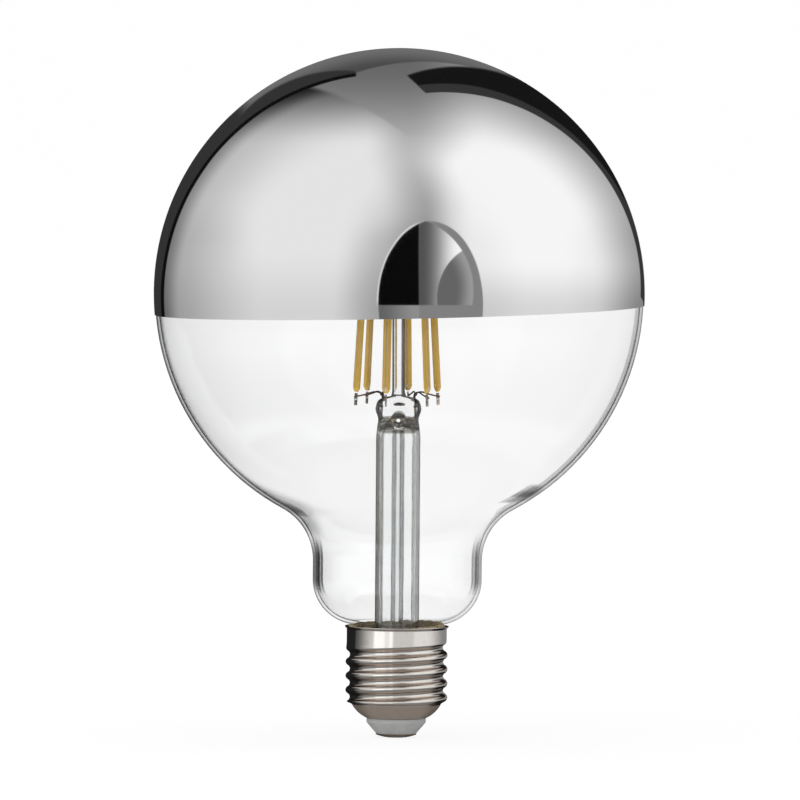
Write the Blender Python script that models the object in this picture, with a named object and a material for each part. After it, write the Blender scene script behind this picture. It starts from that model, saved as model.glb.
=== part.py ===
"""Globe filament lamp with a mirrored top, built as separate solids.

Metres, +Z up. The tip of the centre contact is at the origin, and the lamp stands on its cap with
the globe above. Azimuths are counter-clockwise from +X, seen from above. The lamp is seen from -Y.
"""

import math

import bmesh
import bpy
from mathutils import Vector

MM = 0.001
GAP = 0.3 * MM
WELD_DISTANCE = 1e-7
SEGMENTS = 32
GLOBE_STEPS = 18
SHOULDER_STEPS = 5
NECK_BASE_STEPS = 6
STEM_SEGMENTS = 28
FLARE_STEPS = 5

# Centre contact
CONTACT_RADIUS = 5.2 * MM
CONTACT_HEIGHT = 0.95 * MM
CONTACT_FLAT_RADIUS = 1.4 * MM
SHANK_RADIUS = 1.0 * MM
SHANK_LENGTH = 2.4 * MM

# Insulator between the contact and the screw shell
INSULATOR_TIP_RADIUS = 5.15 * MM
INSULATOR_RADIUS = 7.6 * MM
INSULATOR_CONE_HEIGHT = 3.05 * MM
INSULATOR_RIM_HEIGHT = 0.4 * MM
INSULATOR_FLANGE_OVERHANG = 0.9 * MM
INSULATOR_FLANGE_THICKNESS = 0.7 * MM

# Screw shell, pressed from sheet
SHELL_SHEET = 0.3 * MM
SHELL_SEAT_RADIUS = 7.7 * MM
SHELL_TAPER_HEIGHT = 3.4 * MM
SHELL_TAPER_BULGE = (0.52, 0.34)
THREAD_CREST_RADIUS = 13.05 * MM
THREAD_DEPTH = 1.1 * MM
THREAD_PITCH = 3.629 * MM
THREAD_LENGTH = 14.6 * MM
THREAD_RUN_OUT_TURNS = 0.4
BAND_RADIUS = 12.8 * MM
BAND_HEIGHT = 5.6 * MM
LIP_FLARE = 0.5 * MM
LIP_HEIGHT = 0.7 * MM

# Glass envelope
GLOBE_RADIUS = 62.5 * MM
GLASS_WALL = 0.8 * MM
SHOULDER_FILLET = 15.0 * MM
NECK_RADIUS = 21.6 * MM
NECK_STRAIGHT = 4.8 * MM
NECK_BASE_FILLET = 11.6 * MM
TAIL_RADIUS = 10.8 * MM
TAIL_DEPTH = 8.1 * MM

# Mirror coating on the upper half of the globe
COATING_THICKNESS = 0.2 * MM
COATING_EDGE_DROP = 4.2 * MM
COATING_EDGE_TILT = math.radians(1.5)

# Glass stem: flare, tube and flattened press
FLARE_HEIGHT = 8.2 * MM
STEM_LENGTH = 66.6 * MM
STEM_RADIUS = 5.65 * MM
STEM_WALL = 1.05 * MM
PRESS_HEIGHT = 10.4 * MM
PRESS_WAIST = 10.4 * MM
PRESS_WIDTH = 11.7 * MM
PRESS_THICKNESS = 5.8 * MM
CAVITY_CORNER = 0.8 * MM
CAVITY_HEADROOM = 9.2 * MM
EYE_DROP = 6.0 * MM
EYE_RADIUS = 1.4 * MM

# Exhaust tube inside the stem
EXHAUST_RADIUS = 1.65 * MM
EXHAUST_BORE_RADIUS = 0.9 * MM
EXHAUST_TIP_DROP = 3.8 * MM
EXHAUST_TIP_TAPER = 2.5 * MM

# Rod and crown that carry the filaments
ROD_RADIUS = 1.6 * MM
ROD_FOOT_RADIUS = 1.95 * MM
ROD_LENGTH = 33.8 * MM
CROWN_WIRE_RADIUS = 0.35 * MM
CROWN_HUB_WALL = 0.6 * MM
CROWN_HUB_HEIGHT = 3.0 * MM
CROWN_SPOKES = 3

# LED filament strips, set in a ring that leans inwards
FILAMENT_COUNT = 6
FIRST_AZIMUTH = math.radians(15.0)
CAGE_RADIUS = 10.95 * MM
CAGE_LEAN = math.radians(3.3)
CAGE_SHIFT = -0.4 * MM
CAGE_DROP = 2.3 * MM
STRIP_LENGTH = 31.4 * MM
STRIP_WIDTH = 1.9 * MM
STRIP_THICKNESS = 1.6 * MM
STRIP_END_ROUND = 1.2 * MM
TAB_LENGTH = 3.1 * MM
TAB_WIDTH = 0.8 * MM
TAB_THICKNESS = 0.25 * MM

# Lead wires
LEAD_OFFSET = 4.0 * MM
LEAD_SPREAD = 0.3 * MM
INNER_LEAD_RADIUS = 0.3 * MM
PRONG_RADIUS = 0.22 * MM
PRONG_RISE = 1.0 * MM
LEAD_RISE = 0.8 * MM
WELD_HEIGHT = 2.2 * MM
SEAL_WIRE_RADIUS = 0.25 * MM
SEAL_JOINT_DROP = 3.0 * MM
SEAL_WIRE_LENGTH = 6.4 * MM
OUTER_LEAD_RADIUS = 0.25 * MM
OUTER_LEAD_OFFSET = 3.8 * MM

# Driver inside the cap
BOARD_THICKNESS = 1.0 * MM
CAPACITOR_RADIUS = 3.0 * MM
CAPACITOR_HEIGHT = 8.5 * MM
CAPACITOR_PLACE = (-5.2 * MM, 0.0)
INDUCTOR_RADIUS = 2.5 * MM
INDUCTOR_WAIST_RADIUS = 1.7 * MM
INDUCTOR_HEIGHT = 6.0 * MM
INDUCTOR_FLANGE = 1.0 * MM
INDUCTOR_PLACE = (5.4 * MM, -0.6 * MM)
RECTIFIER_SIZE = (4.0 * MM, 3.5 * MM, 1.6 * MM)
RECTIFIER_PLACE = (0.0, 5.5 * MM)
CHIP_SIZE = (4.9 * MM, 3.9 * MM, 1.5 * MM)
CHIP_PLACE = (0.0, -5.5 * MM)
PACKAGE_BEVEL = 0.2 * MM
RESISTOR_RADIUS = 1.1 * MM
RESISTOR_LENGTH = 6.0 * MM
RESISTOR_WAIST_RADIUS = 0.85 * MM
RESISTOR_PLACE = (5.8 * MM, 5.2 * MM)
RESISTOR_TURN = math.radians(132.0)
LEFT_LEAD_FOOT = (-3.4 * MM, 4.8 * MM)
RIGHT_LEAD_FOOT = (4.2 * MM, -4.8 * MM)
HOOKUP_WIRE_RADIUS = 0.25 * MM
SHELL_WIRE_AZIMUTH = math.radians(115.0)
SHELL_WIRE_INSET = 1.6 * MM
SHELL_WIRE_RISE = 3.6 * MM

# Heights that follow from the sizes above, bottom to top
Z_INSULATOR = CONTACT_HEIGHT + GAP
Z_INSULATOR_RIM = Z_INSULATOR + INSULATOR_CONE_HEIGHT + INSULATOR_RIM_HEIGHT
Z_SHELL = Z_INSULATOR_RIM + GAP
Z_THREAD = Z_SHELL + SHELL_TAPER_HEIGHT
Z_THREAD_TOP = Z_THREAD + THREAD_LENGTH
Z_RIM = Z_THREAD_TOP + BAND_HEIGHT
Z_TAIL = Z_RIM - TAIL_DEPTH
Z_NECK = Z_RIM + GAP + NECK_BASE_FILLET
Z_SHOULDER = Z_NECK + NECK_STRAIGHT
Z_GLOBE = Z_SHOULDER + math.sqrt(
    (GLOBE_RADIUS + SHOULDER_FILLET) ** 2 - (NECK_RADIUS + SHOULDER_FILLET) ** 2
)
Z_FLARE = Z_TAIL + GAP
Z_PRESS_TOP = Z_FLARE + STEM_LENGTH
Z_CEILING = Z_PRESS_TOP - CAVITY_HEADROOM
Z_CAGE = Z_PRESS_TOP - CAGE_DROP
Z_BOARD = Z_THREAD
Z_BOARD_TOP = Z_BOARD + BOARD_THICKNESS
THREAD_ROOT_RADIUS = THREAD_CREST_RADIUS - THREAD_DEPTH
SHELL_HOLE_RADIUS = SHELL_SEAT_RADIUS - SHELL_SHEET
BOARD_RADIUS = THREAD_ROOT_RADIUS - SHELL_SHEET - GAP
FLARE_RADIUS = TAIL_RADIUS - GLASS_WALL - GAP
HOLE_RADIUS = SHANK_RADIUS + GAP


def clear_scene():
    """Remove everything that the file opened with."""
    for item in list(bpy.data.objects):
        bpy.data.objects.remove(item)


def finish(name, colour, roughness, metallic=0.0, transmission=0.0):
    """Return a Principled material of one colour."""
    material = bpy.data.materials.new(name)
    material.use_nodes = True
    shader = material.node_tree.nodes["Principled BSDF"]
    shader.inputs["Base Color"].default_value = (*colour, 1.0)
    shader.inputs["Roughness"].default_value = roughness
    shader.inputs["Metallic"].default_value = metallic
    shader.inputs["Transmission Weight"].default_value = transmission
    material.diffuse_color = (*colour, 1.0)
    return material


def make_finishes():
    """Return the finishes of the lamp by name."""
    return {
        "glass": finish("clear_glass", (0.93, 0.95, 0.95), 0.02, transmission=1.0),
        "mirror": finish("mirror_silver", (0.80, 0.80, 0.80), 0.03, metallic=1.0),
        "phosphor": finish("phosphor_yellow", (0.62, 0.40, 0.08), 0.55),
        "steel": finish("tab_steel", (0.45, 0.44, 0.42), 0.35, metallic=1.0),
        "dark_wire": finish("oxidised_wire", (0.12, 0.10, 0.09), 0.45, metallic=1.0),
        "copper": finish("seal_copper", (0.60, 0.28, 0.18), 0.35, metallic=1.0),
        "nickel": finish("cap_nickel", (0.66, 0.62, 0.56), 0.22, metallic=1.0),
        "insulator": finish("insulator_grey", (0.42, 0.42, 0.40), 0.40),
        "brass": finish("contact_brass", (0.55, 0.45, 0.36), 0.30, metallic=1.0),
        "cement": finish("cap_cement", (0.24, 0.21, 0.14), 0.90),
        "board": finish("board_green", (0.05, 0.22, 0.10), 0.50),
        "sleeve": finish("capacitor_sleeve", (0.03, 0.04, 0.08), 0.35),
        "moulding": finish("package_black", (0.03, 0.03, 0.03), 0.55),
        "winding": finish("coil_copper", (0.50, 0.22, 0.08), 0.35, metallic=1.0),
        "resistor": finish("resistor_green", (0.16, 0.28, 0.20), 0.45),
        "hookup": finish("tinned_wire", (0.62, 0.62, 0.60), 0.30, metallic=1.0),
    }


def place(name, mesh, material):
    """Link a mesh into the scene as a named object with one material."""
    item = bpy.data.objects.new(name, mesh)
    mesh.materials.append(material)
    bpy.context.scene.collection.objects.link(item)
    return item


def mesh_from(name, shape, sharp_angle=35.0):
    """Close a bmesh's book-keeping and return it as a smooth-shaded mesh."""
    bmesh.ops.remove_doubles(shape, verts=shape.verts, dist=WELD_DISTANCE)
    bmesh.ops.recalc_face_normals(shape, faces=shape.faces)
    mesh = bpy.data.meshes.new(name)
    shape.to_mesh(mesh)
    shape.free()
    mesh.shade_smooth()
    mesh.set_sharp_from_angle(angle=math.radians(sharp_angle))
    return mesh


def spun(profile, segments=SEGMENTS, closed=False):
    """Return a bmesh made by spinning a profile of (radius, height) points about the Z axis."""
    shape = bmesh.new()
    verts = [shape.verts.new((radius, 0.0, height)) for radius, height in profile]
    pairs = list(zip(verts, verts[1:]))
    if closed:
        pairs.append((verts[-1], verts[0]))
    edges = [shape.edges.new(pair) for pair in pairs]
    bmesh.ops.spin(
        shape,
        geom=verts + edges,
        cent=(0.0, 0.0, 0.0),
        axis=(0.0, 0.0, 1.0),
        angle=math.tau,
        steps=segments,
        use_merge=True,
    )
    bmesh.ops.remove_doubles(shape, verts=shape.verts, dist=WELD_DISTANCE)
    return shape


def turned(name, profile, material, segments=SEGMENTS, closed=False):
    """Place a solid that is turned about the Z axis."""
    return place(name, mesh_from(name, spun(profile, segments, closed)), material)


def skin(name, rings, cyclic=False, sharp_angle=35.0):
    """Return a mesh that joins rings of equal length, with capped ends unless cyclic."""
    shape = bmesh.new()
    loops = [[shape.verts.new(point) for point in ring] for ring in rings]
    count = len(rings[0])
    pairs = list(zip(loops, loops[1:]))
    if cyclic:
        pairs.append((loops[-1], loops[0]))
    else:
        shape.faces.new(loops[0])
        shape.faces.new(loops[-1])
    for lower, upper in pairs:
        for i in range(count):
            j = (i + 1) % count
            shape.faces.new((lower[i], lower[j], upper[j], upper[i]))
    return mesh_from(name, shape, sharp_angle)


def tube_mesh(name, points, radius, sides=8, cyclic=False):
    """Return a round wire along a list of points."""
    points = [Vector(point) for point in points]
    count = len(points)
    rings = []
    side = None
    for i, point in enumerate(points):
        before = points[(i - 1) % count] if cyclic or i else point
        after = points[(i + 1) % count] if cyclic or i < count - 1 else point
        along = (after - before).normalized()
        if side is None:
            side = along.orthogonal()
        side = (side - along * side.dot(along)).normalized()
        other = along.cross(side)
        angles = [math.tau * k / sides for k in range(sides)]
        rings.append([point + radius * (math.cos(a) * side + math.sin(a) * other) for a in angles])
    return skin(name, rings, cyclic)


def wire(name, points, radius, material):
    """Place a round wire along a list of points."""
    return place(name, tube_mesh(name, points, radius), material)


def combine(target, operand, operation):
    """Join or cut the target with an operand, which stays in the file as a hidden guide."""
    operand.hide_render = True
    operand.display_type = "WIRE"
    modifier = target.modifiers.new(operand.name, "BOOLEAN")
    modifier.operation = operation
    modifier.solver = "EXACT"
    modifier.object = operand


def arc(centre_radius, centre_height, radius, start, end, steps):
    """Return points of a circle in the profile plane, with angles from +radius towards +Z."""
    angles = [start + (end - start) * i / steps for i in range(steps + 1)]
    return [
        (centre_radius + radius * math.cos(a), centre_height + radius * math.sin(a)) for a in angles
    ]


def smooth_step(low, high, value):
    """Return 0 below low, 1 above high and a smooth blend between them."""
    t = min(max((value - low) / (high - low), 0.0), 1.0)
    return t * t * (3.0 - 2.0 * t)


def bezier(start, control, end, t):
    """Return a point of a quadratic curve."""
    return tuple(
        (1.0 - t) ** 2 * a + 2.0 * t * (1.0 - t) * b + t ** 2 * c
        for a, b, c in zip(start, control, end)
    )


def globe_profile(offset):
    """Return the envelope's profile at an inward offset from its outer surface, top to tail."""
    tangent = math.atan2(Z_SHOULDER - Z_GLOBE, NECK_RADIUS + SHOULDER_FILLET)
    points = [(0.0, Z_GLOBE + GLOBE_RADIUS - offset)]
    points += arc(0.0, Z_GLOBE, GLOBE_RADIUS - offset, math.pi / 2, tangent, GLOBE_STEPS)[1:]
    points += arc(
        NECK_RADIUS + SHOULDER_FILLET,
        Z_SHOULDER,
        SHOULDER_FILLET + offset,
        math.pi + tangent,
        math.pi,
        SHOULDER_STEPS,
    )[1:]
    fillet = NECK_BASE_FILLET - offset
    centre = NECK_RADIUS - NECK_BASE_FILLET
    reach = (TAIL_RADIUS - offset - centre) / fillet
    end = -math.acos(min(max(reach, 0.0), 1.0))
    points += arc(centre, Z_NECK, fillet, 0.0, end, NECK_BASE_STEPS)
    points += [(TAIL_RADIUS - offset, points[-1][1]), (TAIL_RADIUS - offset, Z_TAIL)]
    return points


def build_envelope(finishes):
    """Blow the globe, neck and tail as one wall of glass, open at the tail."""
    profile = globe_profile(0.0) + globe_profile(GLASS_WALL)[::-1]
    turned("glass_envelope", profile, finishes["glass"])


def build_coating(finishes):
    """Lay the mirror film over the globe, down to a slightly tilted edge."""
    radius = GLOBE_RADIUS + GAP
    tangent = math.atan2(Z_SHOULDER - Z_GLOBE, NECK_RADIUS + SHOULDER_FILLET)
    profile = [(0.0, radius)] + arc(0.0, 0.0, radius, math.pi / 2, tangent, GLOBE_STEPS)[1:]
    shape = spun(profile)
    bmesh.ops.bisect_plane(
        shape,
        geom=shape.verts[:] + shape.edges[:] + shape.faces[:],
        plane_co=(0.0, 0.0, -COATING_EDGE_DROP),
        plane_no=(-math.sin(COATING_EDGE_TILT), 0.0, math.cos(COATING_EDGE_TILT)),
        clear_inner=True,
    )
    coating = place("mirror_coating", mesh_from("mirror_coating", shape), finishes["mirror"])
    coating.location = (0.0, 0.0, Z_GLOBE)
    film = coating.modifiers.new("film", "SOLIDIFY")
    film.thickness = COATING_THICKNESS
    film.offset = 1.0


def ellipse_ring(half_x, half_y, height, power, count):
    """Return a level ring that is round at power 2 and squarer above it."""
    ring = []
    for i in range(count):
        a = math.tau * i / count
        c = math.cos(a)
        s = math.sin(a)
        x = math.copysign(abs(c) ** (2.0 / power), c) * half_x
        y = math.copysign(abs(s) ** (2.0 / power), s) * half_y
        ring.append((x, y, height))
    return ring


def build_stem(finishes):
    """Form the flare, the stem tube and the press that seals the lead wires."""
    count = STEM_SEGMENTS
    z_press = Z_PRESS_TOP - PRESS_HEIGHT
    outer = []
    inner = []
    for i in range(FLARE_STEPS + 1):
        t = i / FLARE_STEPS
        radius = STEM_RADIUS + (FLARE_RADIUS - STEM_RADIUS) * (1.0 - t) ** 2
        height = Z_FLARE + FLARE_HEIGHT * t
        outer.append(ellipse_ring(radius, radius, height, 2.0, count))
        inner.append(ellipse_ring(radius - STEM_WALL, radius - STEM_WALL, height, 2.0, count))
    waist = PRESS_WAIST / 2
    width = PRESS_WIDTH / 2
    depth = PRESS_THICKNESS / 2
    # Each section: share of the press's height, half width, half thickness, squareness
    sections = [
        (0.00, STEM_RADIUS, STEM_RADIUS, 2.0),
        (0.22, 0.5 * (STEM_RADIUS + waist), STEM_RADIUS - 0.35 * (STEM_RADIUS - depth), 2.1),
        (0.45, waist, depth + 0.2 * (STEM_RADIUS - depth), 2.3),
        (0.66, width, depth, 2.6),
        (0.84, width - 0.03 * PRESS_WIDTH, 0.96 * depth, 2.6),
        (0.92, width - 0.09 * PRESS_WIDTH, 0.90 * depth, 2.4),
        (0.97, 0.62 * width, 0.78 * depth, 2.2),
        (1.00, ROD_FOOT_RADIUS, ROD_FOOT_RADIUS, 2.0),
    ]
    for share, half_x, half_y, power in sections:
        outer.append(ellipse_ring(half_x, half_y, z_press + share * PRESS_HEIGHT, power, count))
    bore = STEM_RADIUS - STEM_WALL
    ceiling = bore - CAVITY_CORNER / 2
    inner.append(ellipse_ring(bore, bore, Z_CEILING - CAVITY_CORNER, 2.0, count))
    inner.append(ellipse_ring(ceiling, ceiling, Z_CEILING, 2.0, count))
    mesh = skin("stem_glass", inner[::-1] + outer)
    stem = place("stem_glass", mesh, finishes["glass"])
    for side, sign in (("left", -1.0), ("right", 1.0)):
        start = (sign * LEAD_OFFSET, 0.0, Z_CEILING - GAP)
        end = (sign * LEAD_OFFSET, 0.0, Z_PRESS_TOP + GAP)
        hole = wire("cutter_seal_" + side, [start, end], INNER_LEAD_RADIUS + GAP, finishes["glass"])
        combine(stem, hole, "DIFFERENCE")
    z_eye = Z_PRESS_TOP - EYE_DROP
    channel_ends = [(0.0, 0.0, Z_CEILING - GAP), (0.0, 0.0, z_eye)]
    eye_ends = [(0.0, -STEM_RADIUS, z_eye), (0.0, STEM_RADIUS, z_eye)]
    eye_mesh = tube_mesh("cutter_eye", eye_ends, EYE_RADIUS, sides=14)
    channel_mesh = tube_mesh("cutter_channel", channel_ends, EXHAUST_BORE_RADIUS, sides=12)
    for name, mesh in (("cutter_eye", eye_mesh), ("cutter_channel", channel_mesh)):
        combine(stem, place(name, mesh, finishes["glass"]), "DIFFERENCE")


def build_exhaust_tube(finishes):
    """Draw the thin tube that the globe was emptied and filled through, sealed at its tip."""
    top = Z_CEILING - GAP
    tip = Z_FLARE - EXHAUST_TIP_DROP
    wall = EXHAUST_RADIUS - EXHAUST_BORE_RADIUS
    profile = [
        (0.0, tip),
        (0.5 * EXHAUST_RADIUS, tip + 0.15 * EXHAUST_TIP_TAPER),
        (EXHAUST_RADIUS, tip + EXHAUST_TIP_TAPER),
        (EXHAUST_RADIUS, top),
        (EXHAUST_BORE_RADIUS, top),
        (EXHAUST_BORE_RADIUS, tip + EXHAUST_TIP_TAPER),
        (0.0, tip + wall),
    ]
    turned("exhaust_tube", profile, finishes["glass"], segments=12)


def build_rod(finishes):
    """Stand the glass rod on the press."""
    foot = Z_PRESS_TOP + GAP
    flare = ROD_FOOT_RADIUS - ROD_RADIUS
    profile = [
        (0.0, foot),
        (ROD_FOOT_RADIUS, foot),
        (ROD_RADIUS, foot + 2.0 * flare),
        (ROD_RADIUS, foot + ROD_LENGTH),
        (0.0, foot + ROD_LENGTH),
    ]
    turned("support_rod", profile, finishes["glass"], segments=16)


def cage_point(azimuth, distance, outward=0.0, sideways=0.0):
    """Return a point that far up a filament's axis from the end of its lower tab."""
    radius = CAGE_RADIUS - distance * math.sin(CAGE_LEAN) + outward
    height = Z_CAGE + distance * math.cos(CAGE_LEAN)
    x = radius * math.cos(azimuth) - sideways * math.sin(azimuth)
    y = radius * math.sin(azimuth) + sideways * math.cos(azimuth)
    return Vector((x + CAGE_SHIFT, y, height))


def filament_azimuths():
    """Return the azimuths of the filaments."""
    return [FIRST_AZIMUTH + math.tau * k / FILAMENT_COUNT for k in range(FILAMENT_COUNT)]


def build_filaments(finishes):
    """Set the strips and their end tabs in the leaning ring."""
    rings = []
    half = STRIP_LENGTH / 2
    for share, scale in ((0.0, 0.50), (0.4, 0.86), (1.0, 1.0)):
        height = -half + share * STRIP_END_ROUND
        x = STRIP_THICKNESS / 2 * scale
        y = STRIP_WIDTH / 2 * scale
        rings.append(ellipse_ring(x, y, height, 3.0, 12))
    rings += [[(x, y, -z) for x, y, z in ring] for ring in rings[::-1]]
    strip_mesh = skin("led_strip", rings)
    tab = bmesh.new()
    bmesh.ops.create_cube(tab, size=1.0)
    bmesh.ops.scale(tab, vec=(TAB_WIDTH, TAB_THICKNESS, TAB_LENGTH), verts=tab.verts)
    tab_mesh = mesh_from("strip_tab", tab)
    tab_pitch = TAB_LENGTH / 2
    strip_pitch = TAB_LENGTH + GAP + STRIP_LENGTH / 2
    top_pitch = 2.0 * strip_pitch - tab_pitch
    strip_mesh.materials.append(finishes["phosphor"])
    tab_mesh.materials.append(finishes["steel"])
    for number, azimuth in enumerate(filament_azimuths(), start=1):
        pieces = (
            ("led_strip", strip_mesh, strip_pitch),
            ("strip_tab_bottom", tab_mesh, tab_pitch),
            ("strip_tab_top", tab_mesh, top_pitch),
        )
        for stem, mesh, distance in pieces:
            item = bpy.data.objects.new(f"{stem}_{number}", mesh)
            item.location = cage_point(azimuth, distance)
            item.rotation_euler = (0.0, -CAGE_LEAN, azimuth)
            bpy.context.scene.collection.objects.link(item)


def build_crown(finishes):
    """Join the upper tabs with a wire ring that spokes hold on a cup over the rod's top."""
    distance = 1.5 * TAB_LENGTH + 2.0 * GAP + STRIP_LENGTH
    rim = cage_point(0.0, distance)
    ring_radius = rim.x - CAGE_SHIFT - TAB_WIDTH / 2 - GAP - CROWN_WIRE_RADIUS
    angles = [math.tau * k / SEGMENTS for k in range(SEGMENTS)]
    circle = [
        (CAGE_SHIFT + ring_radius * math.cos(a), ring_radius * math.sin(a), rim.z) for a in angles
    ]
    ring_mesh = tube_mesh("crown_ring", circle, CROWN_WIRE_RADIUS, sides=6, cyclic=True)
    crown = place("crown_ring", ring_mesh, finishes["hookup"])
    rod_top = Z_PRESS_TOP + GAP + ROD_LENGTH
    bore = ROD_RADIUS + GAP
    hub_profile = [
        (0.0, rod_top + GAP),
        (bore, rod_top + GAP),
        (bore, rod_top + GAP + CROWN_HUB_WALL - CROWN_HUB_HEIGHT),
        (bore + CROWN_HUB_WALL, rod_top + GAP + CROWN_HUB_WALL - CROWN_HUB_HEIGHT),
        (bore + CROWN_HUB_WALL, rod_top + GAP + CROWN_HUB_WALL),
        (0.0, rod_top + GAP + CROWN_HUB_WALL),
    ]
    hub = turned("guide_hub", hub_profile, finishes["hookup"], segments=16)
    combine(crown, hub, "UNION")
    z_hub = rod_top + GAP + CROWN_HUB_WALL - CROWN_HUB_HEIGHT / 2
    for k in range(CROWN_SPOKES):
        a = FIRST_AZIMUTH + math.tau * (k + 0.25) / CROWN_SPOKES
        inside = bore + CROWN_HUB_WALL / 2
        start = (inside * math.cos(a), inside * math.sin(a), z_hub)
        end = (CAGE_SHIFT + ring_radius * math.cos(a), ring_radius * math.sin(a), rim.z)
        spoke = wire(f"guide_spoke_{k + 1}", [start, end], 0.8 * CROWN_WIRE_RADIUS, finishes["hookup"])
        combine(crown, spoke, "UNION")


def prong_path(start, azimuth, side_sign):
    """Return the path of a feed wire from a lead's top to the side of a lower tab."""
    beside = TAB_THICKNESS / 2 + GAP + PRONG_RADIUS
    end = cage_point(azimuth, WELD_HEIGHT, sideways=side_sign * beside)
    steps = 8
    points = []
    for i in range(steps + 1):
        t = i / steps
        point = start.lerp(end, t)
        point.z += PRONG_RISE * 4.0 * t * (1.0 - t) * (1.0 - t)
        points.append(point)
    return points


def build_leads(finishes):
    """Run the inner leads, the seal wires and the outer leads of both sides."""
    z_joint = Z_PRESS_TOP - SEAL_JOINT_DROP
    z_seal_end = z_joint - SEAL_WIRE_LENGTH
    sides = (("left", -1.0, FIRST_AZIMUTH + math.pi), ("right", 1.0, FIRST_AZIMUTH))
    for side, sign, middle in sides:
        x = sign * LEAD_OFFSET
        top = Vector((x + sign * LEAD_SPREAD, 0.0, Z_PRESS_TOP + LEAD_RISE))
        lead_path = [(x, 0.0, z_joint + GAP), (x, 0.0, Z_PRESS_TOP), top]
        lead = wire("inner_lead_" + side, lead_path, INNER_LEAD_RADIUS, finishes["dark_wire"])
        fed = [a for a in filament_azimuths() if math.cos(a - middle) > 0.0]
        for number, azimuth in enumerate(fed, start=1):
            tab = cage_point(azimuth, WELD_HEIGHT)
            across = Vector((-math.sin(azimuth), math.cos(azimuth), 0.0))
            side_sign = 1.0 if (top - tab).dot(across) > 0.0 else -1.0
            low = top - Vector((0.0, 0.0, INNER_LEAD_RADIUS))
            path = prong_path(low, azimuth, side_sign)
            prong = wire(f"guide_prong_{side}_{number}", path, PRONG_RADIUS, finishes["dark_wire"])
            combine(lead, prong, "UNION")
        seal_path = [(x, 0.0, z_seal_end), (x, 0.0, z_joint)]
        wire("seal_wire_" + side, seal_path, SEAL_WIRE_RADIUS, finishes["copper"])
        foot = LEFT_LEAD_FOOT if sign < 0.0 else RIGHT_LEAD_FOOT
        low_x = sign * OUTER_LEAD_OFFSET
        outer_path = [
            (x, 0.0, z_seal_end - GAP),
            (low_x, 0.0, z_seal_end - 10.0 * GAP),
            (low_x, 0.0, Z_FLARE),
            (*foot, Z_FLARE - 3.0 * MM),
            (*foot, Z_BOARD_TOP + GAP),
        ]
        wire("outer_lead_" + side, outer_path, OUTER_LEAD_RADIUS, finishes["hookup"])


def thread_radius(azimuth, height):
    """Return the screw shell's outer radius, with the thread's last groove running out."""
    z_crest = Z_THREAD_TOP - THREAD_PITCH / 2
    turn = (azimuth % math.tau) / math.tau
    along = (height - z_crest) / THREAD_PITCH - turn
    groove_turn = math.floor(along) + turn
    groove = 0.5 - 0.5 * math.cos(math.tau * along)
    groove *= 1.0 - smooth_step(0.0, THREAD_RUN_OUT_TURNS, groove_turn)
    to_band = smooth_step(z_crest, Z_THREAD_TOP + THREAD_PITCH / 2, height)
    crest = THREAD_CREST_RADIUS + (BAND_RADIUS - THREAD_CREST_RADIUS) * to_band
    start = smooth_step(Z_THREAD, Z_THREAD + THREAD_PITCH / 2, height)
    return THREAD_ROOT_RADIUS + start * (crest - THREAD_DEPTH * groove - THREAD_ROOT_RADIUS)


def taper_profile(offset):
    """Return the shell's rounded lower end at an inward offset, from its hole to the thread."""
    start = (SHELL_SEAT_RADIUS - offset, Z_SHELL + 0.5 * offset)
    end = (THREAD_ROOT_RADIUS - offset, Z_THREAD)
    control = tuple(a + share * (b - a) for a, b, share in zip(start, end, SHELL_TAPER_BULGE))
    return [bezier(start, control, end, i / 5) for i in range(6)]


def shell_rings(offset):
    """Return the rings of the screw shell at an inward offset, bottom to top."""
    angles = [math.tau * k / SEGMENTS for k in range(SEGMENTS)]
    rings = []
    for radius, height in taper_profile(offset)[:-1]:
        rings.append([(radius * math.cos(a), radius * math.sin(a), height) for a in angles])
    rows = math.ceil(5.0 * (THREAD_LENGTH + THREAD_PITCH / 2) / THREAD_PITCH)
    for i in range(rows + 1):
        height = Z_THREAD + (THREAD_LENGTH + THREAD_PITCH / 2) * i / rows
        radii = [thread_radius(a, height) - offset for a in angles]
        rings.append([(r * math.cos(a), r * math.sin(a), height) for r, a in zip(radii, angles)])
    lip = ((0.0, Z_RIM - LIP_HEIGHT), (0.8 * LIP_FLARE, Z_RIM - 0.5 * LIP_HEIGHT), (LIP_FLARE, Z_RIM))
    for flare, height in lip:
        radius = BAND_RADIUS + flare - offset
        rings.append([(radius * math.cos(a), radius * math.sin(a), height) for a in angles])
    return rings


def build_shell(finishes):
    """Press the threaded shell, with its band, its lip and its rounded lower end."""
    rings = shell_rings(0.0) + shell_rings(SHELL_SHEET)[::-1]
    mesh = skin("screw_shell", rings, cyclic=True, sharp_angle=50.0)
    place("screw_shell", mesh, finishes["nickel"])


def height_on(profile, radius):
    """Return the height at which a rising profile reaches a radius."""
    for (r0, z0), (r1, z1) in zip(profile, profile[1:]):
        if r0 <= radius <= r1:
            return z0 + (z1 - z0) * (radius - r0) / (r1 - r0)
    return profile[-1][1]


def insulator_top():
    """Return the heights of the underside and the top of the insulator's inner flange."""
    flange = SHELL_HOLE_RADIUS - GAP + INSULATOR_FLANGE_OVERHANG
    under = height_on(taper_profile(SHELL_SHEET), flange + GAP) + GAP
    return under, under + INSULATOR_FLANGE_THICKNESS


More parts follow.
